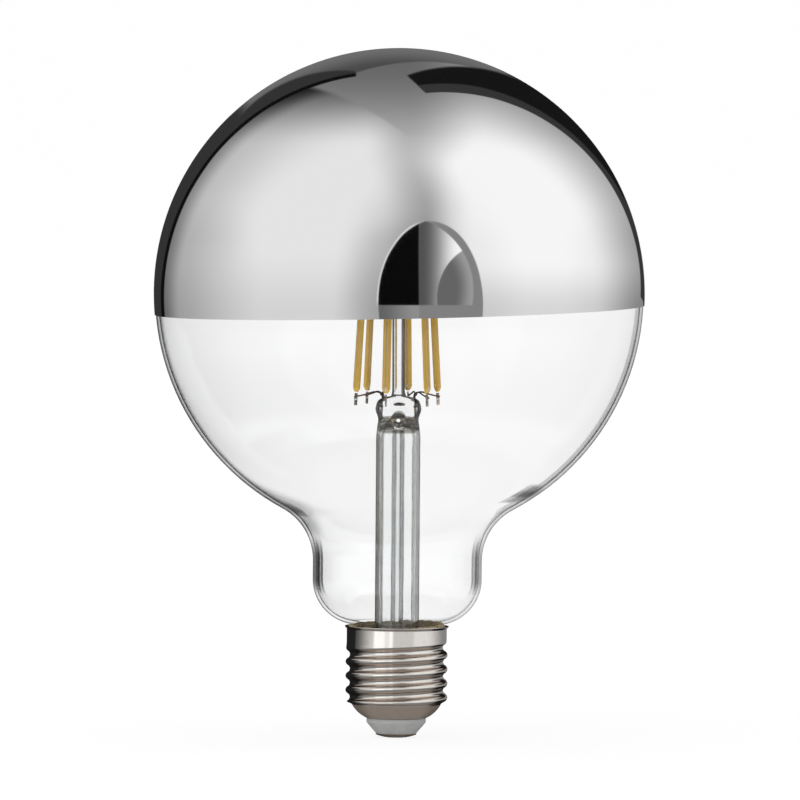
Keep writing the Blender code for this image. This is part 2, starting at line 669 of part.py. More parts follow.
def build_insulator(finishes):
    """Mould the insulator, snapped through the shell's lower hole."""
    collar = SHELL_HOLE_RADIUS - GAP
    under, top = insulator_top()
    flange = collar + INSULATOR_FLANGE_OVERHANG
    profile = [
        (HOLE_RADIUS, Z_INSULATOR),
        (INSULATOR_TIP_RADIUS, Z_INSULATOR),
        (INSULATOR_RADIUS, Z_INSULATOR + INSULATOR_CONE_HEIGHT),
        (INSULATOR_RADIUS, Z_INSULATOR_RIM),
        (collar, Z_INSULATOR_RIM),
        (collar, under),
        (flange, under),
        (flange, top),
        (HOLE_RADIUS, top),
    ]
    turned("insulator", profile, finishes["insulator"], closed=True)


def build_contact(finishes):
    """Turn the domed contact with its small flat tip and its shank."""
    steps = 5
    rise = CONTACT_RADIUS - CONTACT_FLAT_RADIUS
    dome = [(0.0, 0.0)]
    for i in range(steps + 1):
        t = i / steps
        dome.append((CONTACT_FLAT_RADIUS + rise * t, 0.8 * CONTACT_HEIGHT * t * t))
    profile = dome + [
        (CONTACT_RADIUS, CONTACT_HEIGHT),
        (SHANK_RADIUS, CONTACT_HEIGHT),
        (SHANK_RADIUS, CONTACT_HEIGHT + SHANK_LENGTH),
        (0.0, CONTACT_HEIGHT + SHANK_LENGTH),
    ]
    turned("centre_contact", profile, finishes["brass"])


def build_cement(finishes):
    """Fill the space between the glass tail and the shell's band."""
    inner = TAIL_RADIUS + GAP
    outer = BAND_RADIUS - SHELL_SHEET - GAP
    bottom = Z_THREAD_TOP + THREAD_PITCH / 2 + GAP
    top = Z_RIM - GAP
    profile = [(inner, bottom), (outer, bottom), (outer, top), (inner, top)]
    turned("basing_cement", profile, finishes["cement"], closed=True)


def package(name, size, centre, material):
    """Set a moulded component on the board."""
    shape = bmesh.new()
    bmesh.ops.create_cube(shape, size=1.0)
    bmesh.ops.scale(shape, vec=size, verts=shape.verts)
    item = place(name, mesh_from(name, shape), material)
    item.location = (*centre, Z_BOARD_TOP + GAP + size[2] / 2)
    bevel = item.modifiers.new("edges", "BEVEL")
    bevel.width = PACKAGE_BEVEL
    bevel.segments = 1


def build_driver(finishes):
    """Stand the round board on the shell's taper and set its components on it."""
    board = [(0.0, Z_BOARD), (BOARD_RADIUS, Z_BOARD), (BOARD_RADIUS, Z_BOARD_TOP), (0.0, Z_BOARD_TOP)]
    turned("driver_board", board, finishes["board"])
    crimp = 0.88 * CAPACITOR_RADIUS
    can = [
        (0.0, 0.0),
        (CAPACITOR_RADIUS, 0.0),
        (CAPACITOR_RADIUS, 0.12 * CAPACITOR_HEIGHT),
        (crimp, 0.18 * CAPACITOR_HEIGHT),
        (CAPACITOR_RADIUS, 0.24 * CAPACITOR_HEIGHT),
        (CAPACITOR_RADIUS, 0.96 * CAPACITOR_HEIGHT),
        (crimp, CAPACITOR_HEIGHT),
        (0.0, CAPACITOR_HEIGHT),
    ]
    capacitor = turned("capacitor", can, finishes["sleeve"], segments=20)
    capacitor.location = (*CAPACITOR_PLACE, Z_BOARD_TOP + GAP)
    bobbin = [
        (0.0, 0.0),
        (INDUCTOR_RADIUS, 0.0),
        (INDUCTOR_RADIUS, INDUCTOR_FLANGE),
        (INDUCTOR_WAIST_RADIUS, INDUCTOR_FLANGE),
        (INDUCTOR_WAIST_RADIUS, INDUCTOR_HEIGHT - INDUCTOR_FLANGE),
        (INDUCTOR_RADIUS, INDUCTOR_HEIGHT - INDUCTOR_FLANGE),
        (INDUCTOR_RADIUS, INDUCTOR_HEIGHT),
        (0.0, INDUCTOR_HEIGHT),
    ]
    inductor = turned("inductor", bobbin, finishes["winding"], segments=20)
    inductor.location = (*INDUCTOR_PLACE, Z_BOARD_TOP + GAP)
    package("rectifier", RECTIFIER_SIZE, RECTIFIER_PLACE, finishes["moulding"])
    package("driver_chip", CHIP_SIZE, CHIP_PLACE, finishes["moulding"])
    half = RESISTOR_LENGTH / 2
    barrel = [
        (0.0, -half),
        (RESISTOR_RADIUS, -half),
        (RESISTOR_RADIUS, -0.6 * half),
        (RESISTOR_WAIST_RADIUS, -0.5 * half),
        (RESISTOR_WAIST_RADIUS, 0.5 * half),
        (RESISTOR_RADIUS, 0.6 * half),
        (RESISTOR_RADIUS, half),
        (0.0, half),
    ]
    resistor = turned("fusible_resistor", barrel, finishes["resistor"], segments=12)
    resistor.location = (*RESISTOR_PLACE, Z_BOARD_TOP + GAP + RESISTOR_RADIUS)
    resistor.rotation_euler = (0.0, math.pi / 2, RESISTOR_TURN)


def build_hookup_wires(finishes):
    """Run the two wires that join the board to the contact and to the shell."""
    start = (0.0, 0.0, CONTACT_HEIGHT + SHANK_LENGTH + GAP)
    end = (0.0, 0.0, Z_BOARD - GAP)
    wire("contact_wire", [start, end], HOOKUP_WIRE_RADIUS, finishes["hookup"])
    a = SHELL_WIRE_AZIMUTH
    inset = BOARD_RADIUS - SHELL_WIRE_INSET
    z_end = Z_BOARD_TOP + SHELL_WIRE_RISE
    reach = thread_radius(a, z_end) - SHELL_SHEET - GAP - HOOKUP_WIRE_RADIUS
    reach = min(reach, THREAD_ROOT_RADIUS - SHELL_SHEET - GAP - HOOKUP_WIRE_RADIUS)
    path = [
        (inset, Z_BOARD_TOP + GAP),
        (inset, Z_BOARD_TOP + 0.5 * SHELL_WIRE_RISE),
        (0.5 * (inset + reach), Z_BOARD_TOP + 0.8 * SHELL_WIRE_RISE),
        (reach, z_end),
        (reach, z_end + SHELL_WIRE_RISE / 2),
    ]
    points = [(r * math.cos(a), r * math.sin(a), z) for r, z in path]
    wire("shell_wire", points, HOOKUP_WIRE_RADIUS, finishes["hookup"])


def main():
    """Build the lamp."""
    clear_scene()
    finishes = make_finishes()
    build_envelope(finishes)
    build_coating(finishes)
    build_stem(finishes)
    build_exhaust_tube(finishes)
    build_rod(finishes)
    build_filaments(finishes)
    build_crown(finishes)
    build_leads(finishes)
    build_shell(finishes)
    build_insulator(finishes)
    build_contact(finishes)
    build_cement(finishes)
    build_driver(finishes)
    build_hookup_wires(finishes)


main()
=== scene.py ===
"""Globe filament lamp with a mirrored top: fine surfaces, finishes, studio and camera.

Metres, +Z up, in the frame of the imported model. The tip of the centre contact is at the origin and
the lamp is seen from -Y. Azimuths are counter-clockwise from +X, seen from above.
"""

import math

import bmesh
import bpy
from bpy.props import FloatProperty, FloatVectorProperty, IntProperty, PointerProperty
from bpy.types import Operator, Panel, PropertyGroup
from mathutils import Matrix, Vector, noise


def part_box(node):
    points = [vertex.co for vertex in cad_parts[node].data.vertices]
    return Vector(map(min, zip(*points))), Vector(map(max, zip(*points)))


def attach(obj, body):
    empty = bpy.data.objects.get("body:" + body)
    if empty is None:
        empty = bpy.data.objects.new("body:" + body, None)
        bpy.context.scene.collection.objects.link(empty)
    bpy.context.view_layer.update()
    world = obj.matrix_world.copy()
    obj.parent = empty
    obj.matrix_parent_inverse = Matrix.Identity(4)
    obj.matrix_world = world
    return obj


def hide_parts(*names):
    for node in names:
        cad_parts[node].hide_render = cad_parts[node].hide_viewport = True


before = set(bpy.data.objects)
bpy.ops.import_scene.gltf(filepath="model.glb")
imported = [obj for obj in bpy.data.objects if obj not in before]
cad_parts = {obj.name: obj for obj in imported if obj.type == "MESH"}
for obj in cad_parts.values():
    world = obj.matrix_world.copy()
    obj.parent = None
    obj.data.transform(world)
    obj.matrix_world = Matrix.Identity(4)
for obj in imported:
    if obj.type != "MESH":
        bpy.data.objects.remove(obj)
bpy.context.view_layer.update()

bl_info = {
    "name": "Mirrored globe lamp",
    "version": (1, 0, 0),
    "blender": (4, 5, 0),
    "location": "3D View > Sidebar > Lamp",
    "description": "Dresses the packed model of a globe filament lamp and sets up its studio",
    "category": "Object",
}

MM = 0.001
WELD_DISTANCE = 1e-7
# Smallest radius of a turned ring, which keeps its points apart from the axis
SMALLEST_RADIUS = 1e-8
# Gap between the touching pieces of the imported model
GAP = 0.3 * MM
# Exponent that turns a screen level from 0 to 1 into light
SCREEN_GAMMA = 2.2
WHITE = (1.0, 1.0, 1.0)
FLOOR_WHITE = (0.97, 0.97, 0.97)
FLOOR_HALF_SIZE = 12.0
# Centres of the round edges of the two dark flags, as a silvered ball shows them
LEFT_FLAG_CENTRE = (-0.051, -0.010)
RIGHT_FLAG_CENTRE = (0.185, 0.027)
# Glass bends light by this index
GLASS_INDEX = 1.5

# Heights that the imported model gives
Z_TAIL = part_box("glass_envelope")[0][2]
Z_GLOBE_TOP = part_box("glass_envelope")[1][2]
Z_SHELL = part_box("screw_shell")[0][2]
Z_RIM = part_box("screw_shell")[1][2]
Z_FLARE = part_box("stem_glass")[0][2]
Z_PRESS_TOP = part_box("stem_glass")[1][2]
Z_ROD_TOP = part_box("support_rod")[1][2]
Z_EXHAUST_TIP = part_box("exhaust_tube")[0][2]
Z_EXHAUST_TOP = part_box("exhaust_tube")[1][2]
Z_CONTACT_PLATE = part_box("insulator")[0][2] - GAP
Z_INSULATOR_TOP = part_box("insulator")[1][2]
Z_CONTACT_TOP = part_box("centre_contact")[1][2]
Z_BOARD_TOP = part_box("driver_board")[1][2]
Z_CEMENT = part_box("basing_cement")[0][2]


def length(label, text, millimetres):
    """Return a length property."""
    return FloatProperty(
        name=label, description=text, default=millimetres * MM, min=0.0, precision=5, unit="LENGTH"
    )


def offset(label, text, millimetres):
    """Return a length property that may be negative."""
    return FloatProperty(
        name=label, description=text, default=millimetres * MM, precision=5, unit="LENGTH"
    )


def angle(label, text, degrees):
    """Return an angle property."""
    return FloatProperty(
        name=label, description=text, default=math.radians(degrees), unit="ROTATION", subtype="ANGLE"
    )


def share(label, text, value):
    """Return a property from 0 to 1."""
    return FloatProperty(
        name=label, description=text, default=value, min=0.0, max=1.0, subtype="FACTOR"
    )


def display_colour(label, text, red, green, blue):
    """Return a colour property, given by the levels that a screen shows, from 0 to 255."""
    return FloatVectorProperty(
        name=label,
        description=text,
        default=tuple(linear(level) for level in (red, green, blue)),
        min=0.0,
        max=1.0,
        size=3,
        subtype="COLOR",
    )


def linear(level):
    """Return the light of a screen level from 0 to 255."""
    value = level / 255.0
    return value / 12.92 if value <= 0.04045 else ((value + 0.055) / 1.055) ** 2.4


class GlobeSettings(PropertyGroup):
    """Sizes and colours of the glass globe and its mirror film."""

    globe_radius: length("Globe radius", "Outer radius of the globe", 62.5)
    glass_wall: length("Glass wall", "Thickness of the blown glass", 0.8)
    shoulder_fillet: length("Shoulder fillet", "Radius of the hollow curve into the neck", 15.0)
    neck_radius: length("Neck radius", "Outer radius of the neck", 21.6)
    neck_straight: length("Neck straight", "Straight height of the neck", 4.8)
    neck_base_fillet: length("Neck base fillet", "Radius of the curve down to the tail", 11.6)
    tail_radius: length("Tail radius", "Outer radius of the tail inside the cap", 10.8)
    tail_clearance: length("Tail clearance", "Height of the neck's base over the rim", 0.3)
    film_radius: length("Film radius", "Outer radius of the mirror film", 62.8)
    film_thickness: length("Film thickness", "Thickness of the mirror film", 0.2)
    film_edge_drop: length("Film edge drop", "Depth of the film's edge below the centre", 4.2)
    film_edge_tilt: angle("Film edge tilt", "Tilt of the film's edge", 1.5)
    silver: display_colour("Silver", "Colour of the mirror film", 249, 249, 250)
    glass_sheen: display_colour("Glass sheen", "Colour of the light that the wall returns", 235, 238, 240)
    # Painted shade: the dark colour of edge-on walls and of the painted patches
    glass_edge_shade: display_colour("Glass rim", "Colour of the wall seen edge on", 92, 94, 95)


class StemSettings(PropertyGroup):
    """Sizes and colours of the glass stem, exhaust tube and rod."""

    flare_height: length("Flare height", "Height of the flared foot", 8.2)
    flare_radius: length("Flare radius", "Outer radius of the flared foot", 9.7)
    stem_radius: length("Stem radius", "Outer radius of the stem tube", 5.65)
    stem_wall: length("Stem wall", "Thickness of the stem tube", 1.05)
    press_height: length("Press height", "Height of the flattened top", 10.4)
    press_waist: length("Press waist", "Narrowest width of the press", 10.4)
    press_width: length("Press width", "Widest width of the press", 11.7)
    press_thickness: length("Press thickness", "Thickness of the press", 5.8)
    headroom: length("Headroom", "Solid glass above the stem's bore", 9.2)
    eye_drop: length("Eye drop", "Depth of the exhaust hole below the press's top", 6.0)
    eye_radius: length("Eye radius", "Radius of the exhaust hole", 1.4)
    exhaust_radius: length("Exhaust radius", "Outer radius of the exhaust tube", 1.65)
    exhaust_bore: length("Exhaust bore", "Inner radius of the exhaust tube", 0.9)
    exhaust_taper: length("Exhaust taper", "Height of the sealed tip", 2.5)
    rod_radius: length("Rod radius", "Radius of the support rod", 1.6)
    rod_foot_radius: length("Rod foot radius", "Radius of the rod's foot", 1.95)
    rod_lean: length("Rod lean", "How far the rod stands to the left of its foot", 0.2)
    clear: display_colour("Clear glass", "Colour of the glass seen face on", 250, 251, 251)
    # Painted shade: these edge colours darken the glass where its wall is seen edge on, the left one more
    stem_edge: display_colour("Stem edge", "Colour of the stem's wall seen edge on", 108, 106, 104)
    stem_edge_left_shade: display_colour("Stem edge left", "Its colour on the darker side", 56, 53, 50)
    tube_edge: display_colour("Tube edge", "Colour of the exhaust tube's wall seen edge on", 150, 150, 150)
    rod_edge: display_colour("Rod edge", "Colour of the rod and the press seen edge on", 30, 27, 26)
    swirl: display_colour("Swirl", "Colour of the brown veins in the press", 158, 122, 74)
    swirl_light: display_colour("Light swirl", "Colour of the thin folds", 190, 186, 172)
    swirl_and_shade_grey: display_colour("Grey swirl", "Colour of the thick folds", 136, 134, 124)
    swirl_and_shade_dark: display_colour("Dark swirl", "Colour of the deepest folds", 74, 70, 60)


class StripSettings(PropertyGroup):
    """Sizes and colours of the light strips, their tabs and the crown."""

    count: IntProperty(name="Strips", description="Number of light strips", default=6, min=1)
    first_azimuth: angle("First azimuth", "Azimuth of the first strip", 15.0)
    cage_radius: length("Cage radius", "Radius at the lower tabs' ends", 10.95)
    cage_lean: angle("Cage lean", "Inward lean of the strips", 3.3)
    cage_shift: offset("Cage shift", "Shift of the ring along X", -0.4)
    cage_drop: length("Cage drop", "Depth of the tabs' ends below the press's top", 2.3)
    strip_length: length("Strip length", "Length of a light strip", 31.4)
    strip_width: length("Strip width", "Width of a strip along the ring", 2.05)
    strip_thickness: length("Strip thickness", "Thickness of a strip across the ring", 1.7)
    end_round: length("End round", "Length of a strip's rounded end", 1.2)
    groove_width: length("Groove width", "Width of the line between the two coats", 0.54)
    slit_length: length("Slit length", "Length of the bare slit at each end", 1.5)
    tab_length: length("Tab length", "Length of a tab", 3.1)
    tab_width: length("Tab width", "Width of a tab", 0.8)
    tab_thickness: length("Tab thickness", "Thickness of a tab", 0.25)
    tab_hole_radius: length("Tab hole radius", "Radius of the hole in a tab", 0.2)
    crown_wire_radius: length("Crown wire radius", "Radius of the crown's wire", 0.35)
    phosphor: display_colour("Phosphor", "Colour of the coat", 228, 186, 74)
    phosphor_edge: display_colour("Phosphor edge", "Colour of the coat's corners", 196, 142, 62)
    substrate: display_colour("Substrate", "Colour of the line between the coats", 178, 152, 122)
    bare_metal: display_colour("Bare metal", "Colour of the slit at the ends", 226, 224, 222)
    tab_steel: display_colour("Tab steel", "Colour of the tabs", 178, 168, 158)
    tab_tarnish: display_colour("Tab tarnish", "Colour of the tabs' stains", 84, 78, 74)
    # Painted highlight: a lit copy of the tab steel, used for one lower tab
    tab_painted_highlight: display_colour("Bright tab", "Colour of the tab that stayed clean", 226, 210, 194)


class WireSettings(PropertyGroup):
    """Sizes and colours of the lead wires."""

    lead_offset: length("Lead offset", "Distance of the leads from the axis", 4.0)
    lead_spread: length("Lead spread", "Outward lean of the leads' tops", 0.3)
    inner_radius: length("Inner lead radius", "Radius of the inner leads", 0.32)
    feed_radius: length("Feed wire radius", "Radius of the feed wires", 0.2)
    lead_rise: length("Lead rise", "Height of the leads over the press", 0.8)
    weld_height: length("Weld height", "Height of the welds on the tabs", 2.2)
    seal_radius: length("Seal wire radius", "Radius of the copper seal wires", 0.25)
    outer_radius: length("Outer lead radius", "Radius of the outer leads", 0.17)
    outer_offset: length("Outer lead offset", "Distance of the right outer lead from the axis", 3.8)
    outer_offset_left: length("Left lead offset", "Distance of the left outer lead", 4.3)
    oxide: display_colour("Oxide", "Colour of the oxidised wire", 50, 42, 40)
    oxide_warm: display_colour("Warm oxide", "Colour of the wire where it was heated", 176, 142, 112)
    copper: display_colour("Copper", "Colour of the seal wires", 196, 128, 96)
    tinned: display_colour("Tinned wire", "Colour of the outer leads", 212, 210, 206)
    tarnish: display_colour("Tarnish", "Colour of the outer leads' stains", 92, 88, 84)


class CapSettings(PropertyGroup):
    """Sizes and colours of the screw cap."""

    sheet: length("Sheet", "Thickness of the shell's sheet", 0.3)
    seat_radius: length("Seat radius", "Outer radius of the shell's lower end", 7.7)
    taper_height: length("Taper height", "Height of the rounded lower end", 3.4)
    crest_radius: length("Crest radius", "Radius at the thread's crests", 13.05)
    thread_depth: length("Thread depth", "Depth of the thread", 1.1)
    thread_pitch: length("Thread pitch", "Rise of the thread in one turn", 3.629)
    thread_length: length("Thread length", "Height of the thread", 14.6)
    taper_tuck: length("Taper tuck", "Tuck of the lower end under the thread", 0.6)
    run_out_turns: FloatProperty(
        name="Run-out", description="Turns over which the last groove runs out", default=0.4, min=0.0
    )
    band_radius: length("Band radius", "Outer radius of the plain band", 12.8)
    lip_flare: length("Lip flare", "Outward flare of the rim", 0.5)
    lip_height: length("Lip height", "Height of the flared rim", 0.7)
    insulator_tip_radius: length("Insulator tip radius", "Radius at the insulator's lower end", 5.15)
    insulator_radius: length("Insulator radius", "Largest radius of the insulator", 7.6)
    contact_radius: length("Contact radius", "Radius of the centre contact", 5.2)
    contact_flat_radius: length("Contact flat radius", "Radius of the contact's flat tip", 1.4)
    shank_radius: length("Shank radius", "Radius of the contact's shank", 1.0)
    nickel: display_colour("Nickel", "Colour of the plated shell", 243, 239, 234)
    # Painted shade on the thread's sides, and also the colour of the smudges
    smudge_and_flank_shade_nickel: display_colour("Brown nickel", "Colour of the thread's flanks", 186, 172, 160)
    dull_nickel: display_colour("Dull nickel", "Colour of the shell's lower end", 170, 156, 144)
    insulator: display_colour("Insulator", "Colour of the insulator", 176, 177, 176)
    contact: display_colour("Contact", "Colour of the contact", 196, 182, 164)
    contact_stain: display_colour("Contact stain", "Colour of the contact's stains", 122, 98, 78)
    cement: display_colour("Cement", "Colour of the cement", 182, 164, 130)
    cement_dark: display_colour("Dark cement", "Colour of the cement's burnt spots", 118, 100, 72)


class DriverSettings(PropertyGroup):
    """Colours of the driver inside the cap."""

    board: display_colour("Board", "Colour of the circuit board", 38, 92, 54)
    track: display_colour("Track", "Colour of the coated tracks", 56, 122, 70)
    sleeve: display_colour("Sleeve", "Colour of the capacitor's sleeve", 28, 34, 52)
    moulding: display_colour("Moulding", "Colour of the moulded packages", 38, 38, 40)
    winding: display_colour("Winding", "Colour of the enamelled winding", 188, 104, 52)
    resistor: display_colour("Resistor", "Colour of the resistor's lacquer", 92, 128, 106)


class StudioSettings(PropertyGroup):
    """Camera, backdrop and light."""

    frame_width: length("Frame width", "Width of the picture at the lamp", 204.6)
    lens: FloatProperty(
        name="Lens", description="Focal length in millimetres", default=700.0, min=1.0
    )
    sensor: FloatProperty(
        name="Sensor", description="Sensor width in millimetres", default=36.0, min=1.0
    )
    elevation: angle("Elevation", "Height of the camera over the horizon", 2.4)
    roll: angle("Roll", "Roll of the camera", 0.43)
    aim_x: offset("Aim X", "Place that the camera aims at along X", 0.38)
    aim_height: length("Aim height", "Height that the camera aims at", 86.4)
    reflector_radius: length("Reflector radius", "Radius of the ring of cards", 80.0)
    reflector_bottom: offset("Reflector bottom", "Height of the ring's lower edge", -60.0)
    reflector_top: length("Reflector top", "Height of the ring's upper edge", 58.0)
    backdrop: share("Backdrop", "Share of the floor's own white", 0.86)
    fill: share("Fill", "Level of the light from all round", 1.0)
    key_power: FloatProperty(
        name="Key power", description="Power of the key light", default=9.0, min=0.0, unit="POWER"
    )
    rim_power: FloatProperty(
        name="Rim power", description="Power of the rear lights", default=4.0, min=0.0, unit="POWER"
    )


class Value:
    """A socket that takes part in Python expressions, which add the Math nodes they need."""

    def __init__(self, graph, socket):
        self.graph = graph
        self.socket = socket

    def __add__(self, other):
        return self.graph.math("ADD", self, other)

    def __sub__(self, other):
        return self.graph.math("SUBTRACT", self, other)

    def __rsub__(self, other):
        return self.graph.math("SUBTRACT", other, self)

    def __mul__(self, other):
        return self.graph.math("MULTIPLY", self, other)

    def __truediv__(self, other):
        return self.graph.math("DIVIDE", self, other)

    def __pow__(self, other):
        return self.graph.math("POWER", self, other)

    def __abs__(self):
        return self.graph.math("ABSOLUTE", self)

    __radd__ = __add__
    __rmul__ = __mul__


class Graph:
    """The nodes of one material or of the world."""

    def __init__(self, tree):
        self.tree = tree
        tree.nodes.clear()

    def feed(self, socket, value):
        """Link a value into a socket, or set the socket to a constant."""
        if isinstance(value, Value):
            self.tree.links.new(value.socket, socket)
        elif hasattr(value, "__len__") and len(value) == 3 and socket.type == "RGBA":
            socket.default_value = (*value, 1.0)
        else:
            socket.default_value = value

    def node(self, kind, settings=None, inputs=None, output=0):
        """Add a node with its settings, then its sockets, and return one of its outputs."""
        item = self.tree.nodes.new("ShaderNode" + kind)
        for name, value in (settings or {}).items():
            setattr(item, name, value)
        for key, value in (inputs or {}).items():
            self.feed(item.inputs[key], value)
        return Value(self, item.outputs[output]) if item.outputs else item

    def math(self, operation, *values):
        """Return the result of a Math node."""
        return self.node("Math", {"operation": operation}, dict(enumerate(values)))

    def vector(self, operation, *values, output=0):
        """Return the result of a Vector Math node."""
        return self.node("VectorMath", {"operation": operation}, dict(enumerate(values)), output)

    def blend(self, factor, first, second):
        """Return the first colour at 0 and the second at 1."""
        return self.node("Mix", {"data_type": "RGBA"}, {0: factor, 6: first, 7: second}, 2)

    def larger(self, first, second):
        """Return the larger of two numbers."""
        return self.math("MAXIMUM", first, second)

    def scaled(self, vector, value):
        """Return a vector or colour multiplied by one number."""
        return self.node("VectorMath", {"operation": "SCALE"}, {0: vector, "Scale": value})

    def ramp(self, value, low, high):
        """Return a smooth step from 0 at low to 1 at high."""
        return self.node(
            "MapRange",
            {"interpolation_type": "SMOOTHSTEP"},
            {"Value": value, "From Min": low, "From Max": high},
        )

    def band(self, value, start, full, fade, end):
        """Return a smooth band that rises from start to full and falls from fade to end."""
        return self.ramp(value, start, full) * (1.0 - self.ramp(value, fade, end))

    def facing(self):
        """Return 0 where the surface is seen face on and 1 where it is seen edge on."""
        return self.node("LayerWeight", inputs={"Blend": 0.5}, output="Facing")

    def slope(self):
        """Return how far the surface faces up or down, from 0 on a wall to 1 on a floor."""
        return abs(self.parts(self.node("TexCoord", output="Normal"))[2])

    def ray(self, kind):
        """Return 1 for the rays of a kind: Camera, Glossy or Transmission."""
        return self.node("LightPath", output=f"Is {kind} Ray")

    def place(self):
        """Return the place on the piece in millimetres."""
        coordinates = self.node("TexCoord", output="Object")
        return self.scaled(coordinates, 1.0 / MM)

    def parts(self, vector):
        """Return a vector's three numbers."""
        item = self.node("SeparateXYZ", inputs={0: vector}).socket.node
        return [Value(self, socket) for socket in item.outputs]

    def point(self, x, y=0.0, z=0.0):
        """Return the vector of three numbers."""
        return self.node("CombineXYZ", inputs={0: x, 1: y, 2: z})

    def noise(self, vector, scale, detail=2.0, roughness=0.5):
        """Return smooth noise about 0.5."""
        inputs = {"Vector": vector, "Scale": scale, "Detail": detail, "Roughness": roughness}
        return self.node("TexNoise", inputs=inputs)

    def bump(self, height, distance, strength=1.0):
        """Return a normal that follows a height given in millimetres."""
        inputs = {"Height": height, "Distance": distance * MM, "Strength": strength}
        return self.node("Bump", inputs=inputs)

    def surface(self, **sockets):
        """End the graph in a Principled shader with sockets given by their names."""
        inputs = {name.replace("_", " "): value for name, value in sockets.items()}
        shader = self.node("BsdfPrincipled", inputs=inputs)
        self.node("OutputMaterial", inputs={"Surface": shader})

    def mixed_shader(self, factor, first, second):
        """End the graph in a mix of two shaders, the first at 0 and the second at 1."""
        shader = self.node("MixShader", inputs={0: factor, 1: first, 2: second})
        self.node("OutputMaterial", inputs={"Surface": shader})


def new_finish(name):
    """Return a new material and its graph."""
    material = bpy.data.materials.new(name)
    material.use_nodes = True
    return material, Graph(material.node_tree)


def thin_glass(settings):
    """Return the blown glass, clear face on, with painted grey shade where the wall is seen edge on and
    painted dark reflections on the neck and shoulder.
    """
    material, graph = new_finish("blown_glass")
    facing = graph.facing()
    place = graph.place()
    x, _, z = graph.parts(place)
    z_neck, z_shoulder, _ = (height / MM for height in globe_heights(settings))
    seeds = graph.noise(place, 0.09, 3.0)
    right = graph.ramp(x, -6.0, 6.0)
    # The wall dims what is behind it a little; painted shade makes it dim more on the side that faces the
    # dark flag
    dim = (0.09 - 0.06 * right) * facing + (0.20 - 0.12 * right) * facing ** 6.0
    dim = dim * (1.0 - 0.8 * graph.ramp(graph.slope(), 0.45, 0.90))
    # Painted shade: the wall seen edge on darkens differently on the left and on the right
    edge_on = (0.7 - 0.2 * right) * graph.ramp(facing, 0.80 + 0.07 * right, 0.98)
    edge_on = edge_on + 0.20 * right * graph.ramp(facing, 0.79, 0.81)
    # The straight neck gets painted dark bands of its full wall at both sides, stronger on the left
    above = z - z_shoulder
    neck = graph.ramp(z, z_neck - 6.0, z_neck) * (1.0 - graph.ramp(above, 0.0, 9.0))
    streak = graph.band(facing, 0.645, 0.68, 0.70, 0.74)
    wall = graph.ramp(facing, 0.575, 0.61) * neck * (1.0 - 0.5 * streak)
    base = 0.028 - 0.008 * graph.ramp(above, 9.0, 12.0)
    # Painted reflections: dark patches of the studio are painted on the shoulder, at each side in its own
    # place
    soft = 0.14 * (1.0 - right) * graph.ramp(facing - 0.02 * above, 0.33, 0.47)
    soft = soft * graph.band(above, 5.0, 9.0, 16.0, 24.0)
    patch = (1.0 - right) * graph.ramp(facing - 0.04 * above, 0.223, 0.243)
    patch = patch * graph.band(above, 10.7, 12.2, 15.7, 17.2)
    other_patch = right * graph.ramp(facing, 0.70, 0.73)
    other_patch = other_patch * graph.band(above, 15.5, 16.3, 18.2, 19.7)
    patch = graph.larger(patch, other_patch)
    sheen = graph.larger(base + dim + edge_on + soft, wall * (0.60 - 0.22 * right))
    sheen = graph.larger(sheen, 0.45 * patch)
    rim = graph.larger(graph.larger(graph.ramp(facing, 0.74, 0.93), wall), patch)
    graph.surface(
        Base_Color=graph.blend(rim, settings.glass_sheen, settings.glass_edge_shade),
        Metallic=1.0,
        Roughness=0.015,
        Alpha=graph.math("MINIMUM", sheen, 1.0),
        Normal=graph.bump(seeds, 0.25, 0.6),
    )
    return material


def drawn_waves(graph):
    """Return the long waves of drawn glass."""
    x, y, z = graph.parts(graph.place())
    return graph.noise(graph.point(x, y, z * 0.12), 0.5, 2.0)


def clear_surface(graph, colour, height, distance):
    """End the graph in solid glass that bends light."""
    graph.surface(
        Base_Color=colour,
        Roughness=0.0,
        IOR=GLASS_INDEX,
        Transmission_Weight=1.0,
        Normal=graph.bump(height, distance),
    )


def exhaust_finish(settings):
    """Return the exhaust tube's glass, with painted grey shade where its wall is seen edge on."""
    material, graph = new_finish("exhaust_glass")
    colour = graph.blend(graph.ramp(graph.facing(), 0.05, 0.13), settings.clear, settings.tube_edge)
    clear_surface(graph, colour, drawn_waves(graph), 0.02)
    return material


